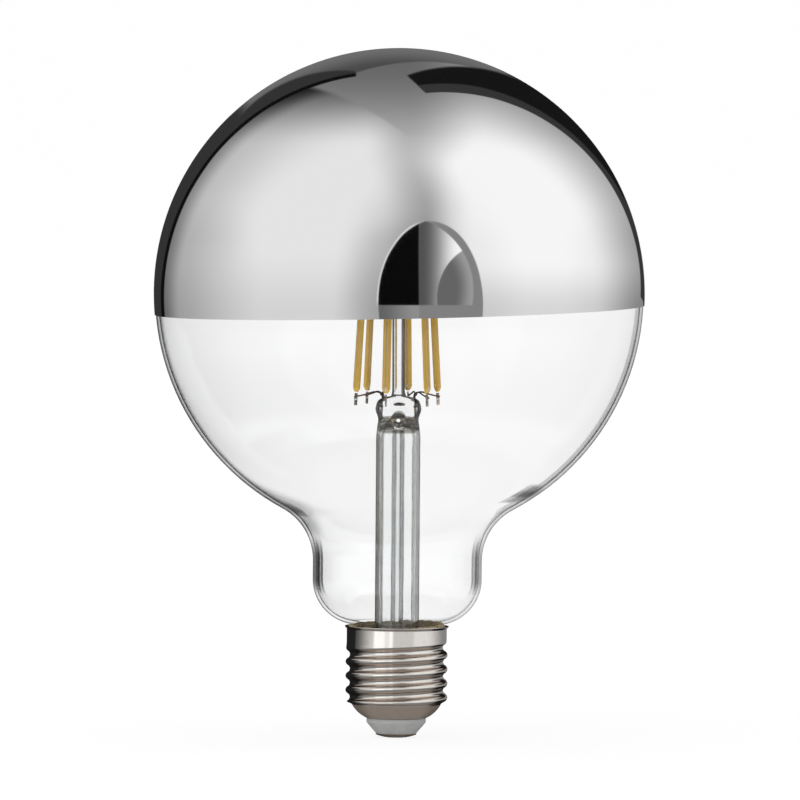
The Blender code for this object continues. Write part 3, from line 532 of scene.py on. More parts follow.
def stem_finish(settings):
    """Return the glass of stem and rod: painted dark walls seen edge on, brown swirls by the eye, and
    painted shade round them.
    """
    material, graph = new_finish("stem_glass")
    x, y, z = graph.parts(graph.place())
    top = Z_PRESS_TOP / MM
    ceiling = top - settings.headroom / MM
    in_press = graph.band(z, ceiling - 0.5, ceiling + 1.5, top - 1.2, top - 0.3)
    in_rod = graph.ramp(z, top, top + 0.8)
    # Painted shade: the press's and the rod's walls are painted darker, the rod more so on its right,
    # where the dark flag would show in it
    seen = graph.facing() + 0.27 * in_press + (0.25 + 0.08 * x) * in_rod
    # Painted shade: the stem's edge is darker on its left side
    edge = graph.blend(graph.ramp(x, -3.0, 3.0), settings.stem_edge_left_shade, settings.stem_edge)
    edge = graph.blend(graph.larger(in_rod, in_press), edge, settings.rod_edge)
    # Folds where the glass closed over the top of the bore, and the knob of glass round the eye
    folds = graph.point(x, y * 0.3, z * 1.6)
    cloud = graph.noise(folds, 0.55, 3.0, 0.6)
    veins = graph.noise(folds, 0.38, 2.0, 0.5)
    wavy = z + 1.6 * (veins - 0.5)
    near = graph.band(wavy, ceiling + 0.9, ceiling + 1.3, ceiling + 3.3, ceiling + 3.7)
    eye = top - settings.eye_drop / MM
    du = (x - 0.1) / 1.55
    dv = (z - eye - 0.15) / 1.85
    reach = graph.math("SQRT", du * du + dv * dv)
    knob = 1.0 - graph.ramp(reach, 0.94, 1.02)
    folded = graph.larger(near, knob)
    wall = graph.ramp(seen - 0.12 * folded, 0.36, 0.45)
    colour = graph.blend(wall, settings.clear, edge)
    mottled = graph.blend(graph.ramp(cloud, 0.42, 0.56), settings.swirl_light, settings.swirl_and_shade_grey)
    brown = 1.0 - graph.ramp(abs(veins - 0.5), 0.015, 0.05)
    mottled = graph.blend(brown * 0.85, mottled, settings.swirl)
    deep = 1.0 - graph.ramp(abs(cloud - 0.46), 0.008, 0.03)
    # Painted shade: a dark ring inside the knob's edge round the eye
    deep = graph.larger(deep, knob * graph.ramp(reach, 0.80, 0.92))
    mottled = graph.blend(deep * 0.8, mottled, settings.swirl_and_shade_dark)
    colour = graph.blend(folded * (1.0 - 0.5 * wall), colour, mottled)
    # Painted shade: a grey zone over the top of the bore, under the veins
    shade = graph.band(z, ceiling - 0.5, ceiling + 0.1, ceiling + 2.0, ceiling + 2.6) * (1.0 - near)
    colour = graph.blend(shade * 0.9, colour, settings.swirl_and_shade_grey)
    clear_surface(graph, colour, drawn_waves(graph) + 10.0 * near * veins, 0.05)
    return material


def silver_film(settings):
    """Return the mirror film, with the faint waves of the glass under it."""
    material, graph = new_finish("mirror_silver")
    place = graph.place()
    waves = graph.noise(place, 0.04, 2.0)
    haze = graph.noise(place, 0.35, 4.0)
    graph.surface(
        Base_Color=settings.silver,
        Metallic=1.0,
        Roughness=0.025 + 0.02 * haze,
        Normal=graph.bump(waves, 0.10, 0.5),
    )
    return material


def phosphor(settings):
    """Return the strips' coat, with painted brown shade at the corners, the substrate's line and bare
    slits.
    """
    material, graph = new_finish("phosphor_coat")
    place = graph.place()
    x, y, z = graph.parts(place)
    half_width = settings.strip_width / 2 / MM
    half_thickness = settings.strip_thickness / 2 / MM
    half_length = settings.strip_length / 2 / MM
    half_groove = settings.groove_width / 2 / MM
    corner = (abs(x) / half_thickness) ** 3.0 * (abs(y) / half_width) ** 3.0
    grain = graph.noise(place, 9.0, 3.0)
    cloud = graph.noise(place, 0.5, 2.0)
    # Painted shade: the section's corners are painted brown; faint clouds of the same colour vary the tone
    coat = graph.blend(graph.ramp(corner, 0.08, 0.45), settings.phosphor, settings.phosphor_edge)
    coat = graph.blend(graph.ramp(cloud, 0.35, 0.75) * 0.15, coat, settings.phosphor_edge)
    on_side = graph.ramp(abs(x), 0.80 * half_thickness, 0.92 * half_thickness)
    line = on_side * (1.0 - graph.ramp(abs(y), 0.6 * half_groove, 1.0 * half_groove))
    coat = graph.blend(line * 0.6, coat, settings.substrate)
    from_end = half_length - abs(z)
    slit_length = settings.slit_length / MM
    end_round = settings.end_round / MM
    slit = graph.band(from_end, 0.25 * end_round, 0.3 * end_round, slit_length, 1.1 * slit_length)
    slit = slit * (1.0 - graph.ramp(abs(y), 0.7 * half_groove, 0.95 * half_groove))
    slit = slit * graph.ramp(abs(x), 0.45 * half_thickness, 0.55 * half_thickness)
    graph.surface(
        Base_Color=graph.blend(slit, coat, settings.bare_metal),
        Metallic=slit * 0.8,
        Roughness=0.5 - 0.2 * slit,
        Normal=graph.bump(grain, 0.02, 0.6),
        Specular_IOR_Level=0.4,
    )
    return material


def metal(name, colour, stain, roughness, grain_scale=1.2, grain_depth=0.01, stain_share=0.5):
    """Return a worn metal with stains and a fine grain."""
    material, graph = new_finish(name)
    place = graph.place()
    patches = graph.ramp(graph.noise(place, grain_scale, 4.0, 0.6), 0.40, 0.70)
    grain = graph.noise(place, grain_scale * 9.0, 3.0)
    graph.surface(
        Base_Color=graph.blend(patches * stain_share, colour, stain),
        Metallic=1.0,
        Roughness=roughness + 0.18 * patches,
        Normal=graph.bump(grain, grain_depth, 0.8),
    )
    return material


def nickel(settings):
    """Return the shell's plating: bright crests and band, painted brown shade on the thread's flanks, a
    dull lower end.
    """
    material, graph = new_finish("cap_nickel")
    place = graph.place()
    x, y, z = graph.parts(place)
    z_thread = (Z_SHELL + settings.taper_height) / MM
    taper = 1.0 - graph.ramp(z, z_thread - 0.1, z_thread + 0.3)
    # Painted shade: the thread's sides, which face up or down, are painted browner than the crests
    flank_shade = graph.ramp(graph.slope(), 0.18, 0.55) * (1.0 - taper)
    scratches = graph.noise(graph.point(x * 0.1, y * 0.1, z), 3.0, 3.0, 0.6)
    cloud = graph.noise(place, 0.35, 3.0)
    smudges = graph.ramp(graph.noise(place, 0.7, 4.0, 0.6), 0.45, 0.75)
    colour = graph.blend(flank_shade * 0.75, settings.nickel, settings.smudge_and_flank_shade_nickel)
    colour = graph.blend(taper, colour, settings.dull_nickel)
    colour = graph.blend(smudges * (0.12 + 0.25 * taper), colour, settings.smudge_and_flank_shade_nickel)
    graph.surface(
        Base_Color=colour,
        Metallic=1.0 - 0.4 * taper,
        Roughness=0.04 + 0.05 * cloud + 0.24 * taper + 0.05 * smudges,
        Normal=graph.bump(scratches, 0.004, 0.3),
    )
    return material


def moulded(name, colour, roughness, grain=3.0, depth=0.02, coat=0.0, shade=0.25):
    """Return a moulded or lacquered finish with a fine grain and faint clouds."""
    material, graph = new_finish(name)
    place = graph.place()
    cloud = graph.noise(place, grain * 0.2, 3.0)
    fine = graph.noise(place, grain * 3.0, 3.0)
    darker = tuple(channel * (1.0 - shade) for channel in colour)
    graph.surface(
        Base_Color=graph.blend(graph.ramp(cloud, 0.3, 0.7), darker, tuple(colour)),
        Roughness=roughness + 0.12 * fine,
        Coat_Weight=coat,
        Normal=graph.bump(fine, depth, 0.7),
    )
    return material


def cement_finish(settings):
    """Return the grainy cement, with dark spots."""
    material, graph = new_finish("cap_cement")
    place = graph.place()
    spots = graph.ramp(graph.noise(place, 1.6, 4.0, 0.65), 0.42, 0.66)
    grain = graph.noise(place, 6.0, 4.0, 0.7)
    graph.surface(
        Base_Color=graph.blend(spots, settings.cement, settings.cement_dark),
        Roughness=0.9,
        Normal=graph.bump(grain, 0.12, 0.9),
    )
    return material


def contact_finish(settings):
    """Return the contact's worn metal, darker towards its rim."""
    material, graph = new_finish("contact_metal")
    place = graph.place()
    x, y, _ = graph.parts(place)
    radius = (x * x + y * y) ** 0.5
    rim = graph.ramp(radius, 0.6 * settings.contact_radius / MM, settings.contact_radius / MM)
    rings = graph.noise(graph.point(radius), 6.0, 2.0)
    patches = graph.ramp(graph.noise(place, 1.1, 4.0, 0.6), 0.35, 0.7)
    stain = graph.larger(rim * 0.7, patches * 0.6)
    graph.surface(
        Base_Color=graph.blend(stain, settings.contact, settings.contact_stain),
        Metallic=1.0,
        Roughness=0.24 + 0.2 * patches,
        Normal=graph.bump(rings, 0.02, 0.5),
    )
    return material


def board_finish(settings):
    """Return the circuit board's lacquer over its tracks."""
    material, graph = new_finish("board_green")
    place = graph.place()
    x, y, _ = graph.parts(place)
    cells = graph.node(
        "TexVoronoi", {"distance": "MANHATTAN"}, {"Vector": place, "Scale": 0.35}, "Distance"
    )
    tracks = graph.ramp(cells, 0.55, 0.60)
    weave = graph.math("SINE", x * 9.0) * graph.math("SINE", y * 9.0)
    graph.surface(
        Base_Color=graph.blend(tracks, settings.board, settings.track),
        Roughness=0.38,
        Coat_Weight=0.3,
        Normal=graph.bump(tracks + 0.1 * weave, 0.03, 0.6),
    )
    return material


def winding_finish(settings):
    """Return the enamelled wire wound round the inductor."""
    material, graph = new_finish("coil_copper")
    place = graph.place()
    turns = graph.math("SINE", graph.parts(place)[2] * 26.0)
    worn = graph.ramp(graph.noise(place, 1.5, 3.0), 0.4, 0.7)
    darker = tuple(0.45 * channel for channel in settings.winding)
    graph.surface(
        Base_Color=graph.blend(worn, tuple(settings.winding), darker),
        Metallic=0.9,
        Roughness=0.3,
        Normal=graph.bump(turns, 0.05, 0.8),
    )
    return material


def mesh_from(name, shape, sharp_angle=40.0):
    """Close a bmesh's book-keeping and return it as a smooth-shaded mesh."""
    bmesh.ops.remove_doubles(shape, verts=shape.verts, dist=WELD_DISTANCE)
    bmesh.ops.recalc_face_normals(shape, faces=shape.faces)
    mesh = bpy.data.meshes.new(name)
    shape.to_mesh(mesh)
    shape.free()
    mesh.shade_smooth()
    mesh.set_sharp_from_angle(angle=math.radians(sharp_angle))
    return mesh


def linked(name, data):
    """Return a new object of the scene."""
    item = bpy.data.objects.new(name, data)
    bpy.context.scene.collection.objects.link(item)
    return item


def place_piece(name, mesh, material, nodes):
    """Link a piece into the scene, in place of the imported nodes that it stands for."""
    mesh.materials.clear()
    mesh.materials.append(material)
    piece = linked(name, mesh)
    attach(piece, "root")
    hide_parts(*nodes)
    return piece


def skin(rings, cyclic=False):
    """Return a bmesh that joins rings of equal length, with capped ends unless cyclic."""
    shape = bmesh.new()
    loops = [[shape.verts.new(point) for point in ring] for ring in rings]
    count = len(rings[0])
    pairs = list(zip(loops, loops[1:]))
    if cyclic:
        pairs.append((loops[-1], loops[0]))
    else:
        shape.faces.new(loops[0])
        shape.faces.new(loops[-1])
    for lower, upper in pairs:
        for i in range(count):
            j = (i + 1) % count
            shape.faces.new((lower[i], lower[j], upper[j], upper[i]))
    return shape


def circle(radius, height, count):
    """Return a level circle of points about the Z axis."""
    angles = [math.tau * i / count for i in range(count)]
    return [(radius * math.cos(a), radius * math.sin(a), height) for a in angles]


def turned(profile, segments, cyclic=False):
    """Return a bmesh turned about the Z axis from a profile of (radius, height) points."""
    rings = [circle(max(radius, SMALLEST_RADIUS), height, segments) for radius, height in profile]
    return skin(rings, cyclic)


def arc(centre_radius, centre_height, radius, start, end, steps):
    """Return points of a circle in the profile plane, with angles from +radius towards +Z."""
    angles = [start + (end - start) * i / steps for i in range(steps + 1)]
    return [
        (centre_radius + radius * math.cos(a), centre_height + radius * math.sin(a)) for a in angles
    ]


def smooth_step(low, high, value):
    """Return 0 below low, 1 above high and a smooth blend between them."""
    t = min(max((value - low) / (high - low), 0.0), 1.0)
    return t * t * (3.0 - 2.0 * t)


def smooth_path(points, steps):
    """Return points of a smooth curve through control points of any dimension."""
    padded = [points[0], *points, points[-1]]
    path = []
    for before, start, end, after in zip(padded, padded[1:], padded[2:], padded[3:]):
        for i in range(steps):
            t = i / steps
            path.append(tuple(
                0.5 * (2.0 * b + (c - a) * t + (2.0 * a - 5.0 * b + 4.0 * c - d) * t * t
                       + (3.0 * b - a - 3.0 * c + d) * t ** 3)
                for a, b, c, d in zip(before, start, end, after)
            ))
    path.append(tuple(points[-1]))
    return path


def tube(points, radius, sides=14, end_round=0.5):
    """Return a bmesh of a round wire along points, with slightly rounded ends."""
    points = [Vector(point) for point in points]
    rings = []
    side = None
    last = len(points) - 1
    for i, point in enumerate(points):
        before = points[max(i - 1, 0)]
        after = points[min(i + 1, last)]
        along = (after - before).normalized()
        if side is None:
            side = along.orthogonal()
        side = (side - along * side.dot(along)).normalized()
        other = along.cross(side)
        angles = [math.tau * k / sides for k in range(sides)]

        def ring(centre, size):
            return [centre + size * (math.cos(a) * side + math.sin(a) * other) for a in angles]

        if i == 0:
            rings.append(ring(point, (1.0 - end_round) * radius))
            rings.append(ring(point + along * 0.5 * end_round * radius, radius))
        elif i == last:
            rings.append(ring(point - along * 0.5 * end_round * radius, radius))
            rings.append(ring(point, (1.0 - end_round) * radius))
        else:
            rings.append(ring(point, radius))
    return skin(rings)


def ellipse_ring(half_x, half_y, height, power, count):
    """Return a level ring that is round at power 2 and squarer above it."""
    ring = []
    for i in range(count):
        a = math.tau * i / count
        c = math.cos(a)
        s = math.sin(a)
        x = math.copysign(abs(c) ** (2.0 / power), c) * half_x
        y = math.copysign(abs(s) ** (2.0 / power), s) * half_y
        ring.append((x, y, height))
    return ring


def combine(mesh, others, operation):
    """Return the mesh joined with, or cut by, other meshes."""
    target = linked("work", mesh)
    helpers = []
    for other in others:
        helper = linked("helper", other)
        helpers.append(helper)
        modifier = target.modifiers.new("combine", "BOOLEAN")
        modifier.operation = operation
        modifier.solver = "EXACT"
        modifier.object = helper
    evaluated = target.evaluated_get(bpy.context.evaluated_depsgraph_get())
    result = bpy.data.meshes.new_from_object(evaluated)
    if not result.polygons:
        raise RuntimeError("a Boolean left nothing of " + mesh.name)
    result.name = mesh.name
    for helper in [target, *helpers]:
        bpy.data.objects.remove(helper)
    result.shade_smooth()
    result.set_sharp_from_angle(angle=math.radians(40.0))
    return result


def bead(centre, radius, seed):
    """Return a bmesh of a small uneven weld bead."""
    shape = bmesh.new()
    bmesh.ops.create_icosphere(shape, subdivisions=3, radius=1.0)
    for vert in shape.verts:
        lump = 1.0 + 0.25 * noise.noise(1.8 * vert.co + Vector((seed, 0.0, 0.0)))
        vert.co = Vector(centre) + vert.co * radius * lump
    return shape


def joined(name, shapes, sharp_angle=40.0):
    """Return one mesh that holds several closed bodies side by side."""
    whole = bmesh.new()
    for shape in shapes:
        part = mesh_from("part", shape, sharp_angle)
        whole.from_mesh(part)
        bpy.data.meshes.remove(part)
    mesh = bpy.data.meshes.new(name)
    whole.to_mesh(mesh)
    whole.free()
    mesh.shade_smooth()
    mesh.set_sharp_from_angle(angle=math.radians(sharp_angle))
    return mesh


def globe_heights(settings):
    """Return the heights of the neck's base, the shoulder and the globe's centre."""
    z_neck = Z_RIM + settings.tail_clearance + settings.neck_base_fillet
    return z_neck, z_neck + settings.neck_straight, Z_GLOBE_TOP - settings.globe_radius


def globe_profile(settings, inward, steps):
    """Return the envelope's profile at an inward offset from its outer surface, top to tail."""
    z_neck, z_shoulder, z_globe = globe_heights(settings)
    centre_radius = settings.neck_radius + settings.shoulder_fillet
    tangent = math.atan2(z_shoulder - z_globe, centre_radius)
    radius = settings.globe_radius - inward
    points = arc(0.0, z_globe, radius, math.pi / 2, tangent, steps)
    fillet = settings.shoulder_fillet + inward
    points += arc(centre_radius, z_shoulder, fillet, math.pi + tangent, math.pi, steps // 3)[1:]
    base_fillet = settings.neck_base_fillet - inward
    base_centre = settings.neck_radius - settings.neck_base_fillet
    tail = settings.tail_radius - inward
    end = -math.acos(min(max((tail - base_centre) / base_fillet, 0.0), 1.0))
    points += arc(base_centre, z_neck, base_fillet, 0.0, end, steps // 3)
    points.append((tail, Z_TAIL))
    return points


def build_globe(settings):
    """Blow the globe, shoulder, neck and tail as one wall of glass, open at the tail."""
    steps = 60
    segments = 160
    outer = globe_profile(settings, 0.0, steps)
    inner = globe_profile(settings, settings.glass_wall, steps)
    shape = turned(outer + inner[::-1], segments)
    mesh = mesh_from("clear_globe", shape)
    place_piece("clear_globe", mesh, thin_glass(settings), ["glass_envelope"])


def build_film(settings):
    """Lay the mirror film over the globe, down to its slightly tilted edge."""
    centre = globe_heights(settings)[2]
    segments = 180
    rows = 64
    radii = (settings.film_radius, settings.film_radius - settings.film_thickness)
    loops = []
    for radius in radii:
        loop = []
        for row in range(rows + 1):
            ring = []
            for i in range(segments):
                a = math.tau * i / segments
                drop = settings.film_edge_drop - radius * math.tan(settings.film_edge_tilt) * math.cos(a)
                low = -math.asin(drop / radius)
                wave = 0.02 * MM * noise.noise(Vector((3.0 * math.cos(a), 3.0 * math.sin(a), 0.0)))
                polar = math.pi / 2 + (low - math.pi / 2) * row / rows
                level = max(radius * math.cos(polar), SMALLEST_RADIUS)
                height = centre + radius * math.sin(polar) + wave * row / rows
                ring.append((level * math.cos(a), level * math.sin(a), height))
            loop.append(ring)
        loops.append(loop)
    shape = skin(loops[0] + loops[1][::-1])
    mesh = mesh_from("mirror_film", shape)
    place_piece("mirror_film", mesh, silver_film(settings), ["mirror_coating"])


def press_sections(settings):
    """Return the press's sections: height, half width, half thickness and squareness."""
    radius = settings.stem_radius
    waist = settings.press_waist / 2
    width = settings.press_width / 2
    depth = settings.press_thickness / 2
    foot = settings.rod_foot_radius
    rows = [
        (0.00, radius, radius, 2.0),
        (0.22, 0.5 * (radius + waist), radius - 0.35 * (radius - depth), 2.1),
        (0.45, waist, depth + 0.2 * (radius - depth), 2.3),
        (0.66, width, depth, 2.6),
        (0.84, 0.94 * width, 0.96 * depth, 2.6),
        (0.92, 0.82 * width, 0.90 * depth, 2.4),
        (0.97, 0.62 * width, 0.78 * depth, 2.2),
        (1.00, foot, foot, 2.0),
    ]
    bottom = Z_PRESS_TOP - settings.press_height
    return [(bottom + share_up * settings.press_height, *rest) for share_up, *rest in rows]


def rod_profile(settings):
    """Return the rod's radii and heights, from its fused foot to its rounded top."""
    flare = settings.rod_foot_radius - settings.rod_radius
    steps = 8
    profile = []
    for i in range(1, steps + 1):
        t = i / steps
        radius = settings.rod_radius + flare * (1.0 - t) ** 2
        profile.append((radius, Z_PRESS_TOP + 5.0 * flare * t))
    crown = 0.35 * MM
    for i in range(9):
        a = math.pi / 2 * i / 8
        radius = settings.rod_radius - crown * (1.0 - math.cos(a))
        profile.append((radius, Z_ROD_TOP - crown + crown * math.sin(a)))
    return profile


def build_stem(settings, wires):
    """Form the flare, the stem tube, the press with its exhaust hole, and the rod fused to it."""
    count = 96
    outer = []
    inner = []
    steps = 20
    for i in range(steps + 1):
        t = i / steps
        radius = settings.stem_radius + (settings.flare_radius - settings.stem_radius) * (1.0 - t) ** 2
        height = Z_FLARE + settings.flare_height * t
        outer.append(circle(radius, height, count))
        inner.append(circle(radius - settings.stem_wall, height, count))
    for height, half_x, half_y, power in smooth_path(press_sections(settings), 6):
        outer.append(ellipse_ring(half_x, half_y, height, power, count))
    for radius, height in rod_profile(settings):
        lean = settings.rod_lean * smooth_step(Z_PRESS_TOP, Z_PRESS_TOP + 8.0 * MM, height)
        outer.append([(px - lean, py, pz) for px, py, pz in circle(radius, height, count)])
    # The bore closes in an uneven dome under the press
    bore = settings.stem_radius - settings.stem_wall
    ceiling = Z_PRESS_TOP - settings.headroom
    eye = Z_PRESS_TOP - settings.eye_drop
    dome = [
        (bore, ceiling - 0.8 * MM),
        (0.98 * bore, ceiling + 0.5 * MM),
        (0.92 * bore, ceiling + 1.4 * MM),
        (0.78 * bore, ceiling + 2.0 * MM),
        (0.52 * bore, ceiling + 2.1 * MM),
        (0.8 * settings.exhaust_bore, eye - 1.5 * settings.eye_radius),
    ]
    for radius, height in smooth_path(dome, 5):
        swirl = 0.55 * MM * smooth_step(ceiling - 0.8 * MM, ceiling + 0.6 * MM, height)
        ring = []
        for px, py, pz in circle(radius, height, count):
            fold = noise.noise(Vector((0.9 * px / MM, 0.9 * py / MM, 0.5)))
            ring.append((px, py, pz + swirl * fold * smooth_step(0.0, 0.4 * bore, radius)))
        inner.append(ring)
    mesh = mesh_from("stem_glass_fine", skin(inner[::-1] + outer))
    # The eye flares towards both faces of the press
    reach = settings.press_thickness
    half_steps = 12
    rims = []
    for i in range(2 * half_steps + 1):
        y = reach * (i / half_steps - 1.0)
        flare = min(abs(y) / (0.5 * reach), 1.4)
        radius = 0.36 * settings.eye_radius + 0.4 * settings.eye_radius * flare ** 4
        centre = eye - 0.3 * MM + 0.4 * MM * min(flare, 1.0) ** 2
        rims.append([(px, y, centre + pz) for px, pz, _ in circle(radius, 0.0, 40)])
    channel = [(0.0, 0.0, eye - 2.2 * MM), (0.0, 0.0, eye)]
    # A flat blister of gas over the eye
    blister = bmesh.new()
    bmesh.ops.create_icosphere(blister, subdivisions=4, radius=1.0)
    for vert in blister.verts:
        half_height = 0.62 if vert.co.z > 0.0 else 0.24
        half_width = 1.55
        shift, over_eye = (0.2, 3.7)
        x = half_width * vert.co.x + shift
        vert.co = Vector((x, vert.co.y, half_height * vert.co.z + over_eye)) * MM
        vert.co.z += eye
    cutters = [skin(rims), tube(channel, 0.4 * settings.exhaust_bore, 24, 0.0), blister]
    for sign in (-1.0, 1.0):
        x = sign * wires.lead_offset
        ends = [(x, 0.0, ceiling - 1.5 * MM), (x, 0.0, Z_PRESS_TOP + MM)]
        cutters.append(tube(ends, wires.inner_radius + 0.02 * MM, 14, 0.0))
    cutters = [mesh_from("cutter", shape) for shape in cutters]
    mesh = combine(mesh, cutters, "DIFFERENCE")
    nodes = ["stem_glass", "support_rod"]
    place_piece("stem_and_rod", mesh, stem_finish(settings), nodes)


def build_exhaust(settings):
    """Draw the thin exhaust tube, sealed at its tip."""
    wall = settings.exhaust_radius - settings.exhaust_bore
    taper = settings.exhaust_taper
    tip = [(0.0, 0.0), (0.35, 0.05), (0.62, 0.25), (0.86, 0.6), (1.0, 1.0)]
    outer = [(r * settings.exhaust_radius, Z_EXHAUST_TIP + z * taper) for r, z in tip]
    inner = [(r * settings.exhaust_bore, Z_EXHAUST_TIP + wall + z * (taper - wall)) for r, z in tip]
    outer = smooth_path(outer, 4) + [(settings.exhaust_radius, Z_EXHAUST_TOP)]
    inner = smooth_path(inner, 4) + [(settings.exhaust_bore, Z_EXHAUST_TOP)]
    mesh = mesh_from("exhaust_glass", turned(outer + inner[::-1], 48))
    place_piece("exhaust_glass", mesh, exhaust_finish(settings), ["exhaust_tube"])


def cage_point(settings, azimuth, distance, outward=0.0, sideways=0.0):
    """Return a point that far up a strip's axis from the end of its lower tab."""
    radius = settings.cage_radius - distance * math.sin(settings.cage_lean) + outward
    height = Z_PRESS_TOP - settings.cage_drop + distance * math.cos(settings.cage_lean)
    x = radius * math.cos(azimuth) - sideways * math.sin(azimuth)
    y = radius * math.sin(azimuth) + sideways * math.cos(azimuth)
    return Vector((x + settings.cage_shift, y, height))


def strip_azimuths(settings):
    """Return the azimuths of the strips."""
    return [settings.first_azimuth + math.tau * k / settings.count for k in range(settings.count)]


def strip_ring(settings, height, scale, depth):
    """Return a strip's section, with a groove of that depth down the middle of both narrow sides."""
    half_x = settings.strip_thickness / 2 * scale
    half_y = settings.strip_width / 2 * scale
    half_groove = settings.groove_width / 2
    edges = [0.0, 0.85 * half_groove, half_groove, 1.15 * half_groove]
    steps = 9
    spread = [half_y * math.sin(math.pi / 2 * i / steps) for i in range(1, steps + 1)]
    across = edges + [y for y in spread if y > 1.3 * half_groove]
    across = [-y for y in across[:0:-1]] + across
    side = []
    for y in across:
        x = half_x * (1.0 - abs(y / half_y) ** 3.0) ** (1.0 / 3.0)
        side.append((x - depth * (1.0 - smooth_step(0.85 * half_groove, 1.15 * half_groove, abs(y))), y))
    ring = [(x, y, height) for x, y in side]
    ring += [(-x, -y, height) for x, y in side[1:-1]]
    return ring


def strip_mesh(settings):
    """Return one light strip along Z, with rounded ends and the bare slits near them."""
    half = settings.strip_length / 2
    slit = settings.slit_length
    end_round = settings.end_round
    stations = [0.0, 0.08, 0.2, 0.3, 0.4, 0.55, 0.7, 0.85, 1.0, 1.1]
    lower = [s * end_round for s in stations] + [slit, 1.08 * slit, 1.5 * slit]
    heights = sorted(lower) + [half]
    rings = []
    for down in heights:
        t = min(down / end_round, 1.0)
        scale = 0.45 + 0.55 * (1.0 - (1.0 - t) ** 1.5)
        bare = smooth_step(0.2 * end_round, 0.3 * end_round, down)
        bare *= 1.0 - smooth_step(slit, 1.08 * slit, down)
        depth = (0.02 + 0.16 * bare) * MM
        rings.append(strip_ring(settings, down - half, scale, depth))
    rings += [[(x, y, -z) for x, y, z in ring] for ring in rings[-2::-1]]
    return mesh_from("light_strip", skin(rings), 50.0)


def tab_mesh(settings):
    """Return one end tab along Z, a punched plate with a hole and softened edges."""
    shape = bmesh.new()
    bmesh.ops.create_cube(shape, size=1.0)
    size = (settings.tab_width, settings.tab_thickness, settings.tab_length)
    bmesh.ops.scale(shape, vec=size, verts=shape.verts)
    edges = shape.edges[:]
    bmesh.ops.bevel(shape, geom=edges, offset=0.05 * MM, segments=2, affect="EDGES", profile=0.5)
    plate = mesh_from("tab", shape)
    z_hole = -0.02 * settings.tab_length
    thickness = settings.tab_thickness
    hole = tube([(0.0, -thickness, z_hole), (0.0, thickness, z_hole)], settings.tab_hole_radius, 20, 0.0)
    return combine(plate, [mesh_from("cutter", hole)], "DIFFERENCE")


def build_strips(settings):
    """Set the light strips and their end tabs in the leaning ring."""
    coat = phosphor(settings)
    steel = metal("tab_steel", settings.tab_steel, settings.tab_tarnish, 0.3, 0.9, 0.01, 0.9)
    bright = metal("tab_painted_highlight", settings.tab_painted_highlight, settings.tab_steel, 0.35, 0.9, 0.01, 0.5)
    strip = strip_mesh(settings)
    tab = tab_mesh(settings)
    tab_pitch = settings.tab_length / 2
    strip_pitch = settings.tab_length + GAP + settings.strip_length / 2
    top_pitch = 2.0 * strip_pitch - tab_pitch
    for number, azimuth in enumerate(strip_azimuths(settings), start=1):
        # The first lower tab gets a painted highlight, a lit copy of the tab steel
        lower = bright if number == 1 else steel
        pieces = (
            ("light_strip", "led_strip", strip, strip_pitch, coat, "phosphor_yellow"),
            ("lower_tab", "strip_tab_bottom", tab, tab_pitch, lower, "tab_steel"),
            ("upper_tab", "strip_tab_top", tab, top_pitch, steel, "tab_steel"),
        )
        for name, node, mesh, distance, finish, slot in pieces:
            turn = Matrix.Rotation(azimuth, 4, "Z") @ Matrix.Rotation(-settings.cage_lean, 4, "Y")
            where = Matrix.Translation(cage_point(settings, azimuth, distance)) @ turn
            piece = place_piece(
                f"{name}_{number}", mesh.copy(), finish, [f"{node}_{number}"]
            )
            piece.matrix_world = where


def build_crown(settings, stem):
    """Join the upper tabs with a wire ring that spokes hold on a cup over the rod's top."""
    distance = 1.5 * settings.tab_length + 2.0 * GAP + settings.strip_length
    rim = cage_point(settings, 0.0, distance)
    wire_radius = settings.crown_wire_radius
    ring_radius = rim.x - settings.cage_shift - settings.tab_width / 2 - GAP - wire_radius
    count = 96
    sides = 12
    spokes = 3
    loops = []
    for k in range(count):
        a = math.tau * k / count
        loop = []
        for j in range(sides):
            b = math.tau * j / sides
            radius = ring_radius + wire_radius * math.cos(b)
            loop.append((
                settings.cage_shift + radius * math.cos(a),
                radius * math.sin(a),
                rim.z + wire_radius * math.sin(b),
            ))
        loops.append(loop)
    ring = mesh_from("crown", skin(loops, cyclic=True))
    bore = stem.rod_radius + GAP
    wall = 0.6 * MM
    cup_height = 3.0 * MM
    top = Z_ROD_TOP + GAP
    low = top + wall - cup_height
    cup = [(0.0, top), (bore, top), (bore, low), (bore + wall, low), (bore + wall, top + 0.6 * wall)]
    cup += [(bore + 0.6 * wall, top + wall), (0.0, top + wall)]
    others = [mesh_from("cup", turned(cup, 48))]
    for k in range(spokes):
        a = settings.first_azimuth + math.tau * (k + 0.25) / spokes
        inside = bore + wall / 2
        start = (inside * math.cos(a), inside * math.sin(a), top + wall - cup_height / 2)
        end = (settings.cage_shift + ring_radius * math.cos(a), ring_radius * math.sin(a), rim.z)
        others.append(mesh_from("spoke", tube([start, end], 0.8 * wire_radius, sides)))
    mesh = combine(ring, others, "UNION")
    wires = bpy.context.scene.lamp_wires
    finish = metal("crown_wire", wires.tinned, wires.tarnish, 0.25)
    place_piece("crown", mesh, finish, ["crown_ring"])


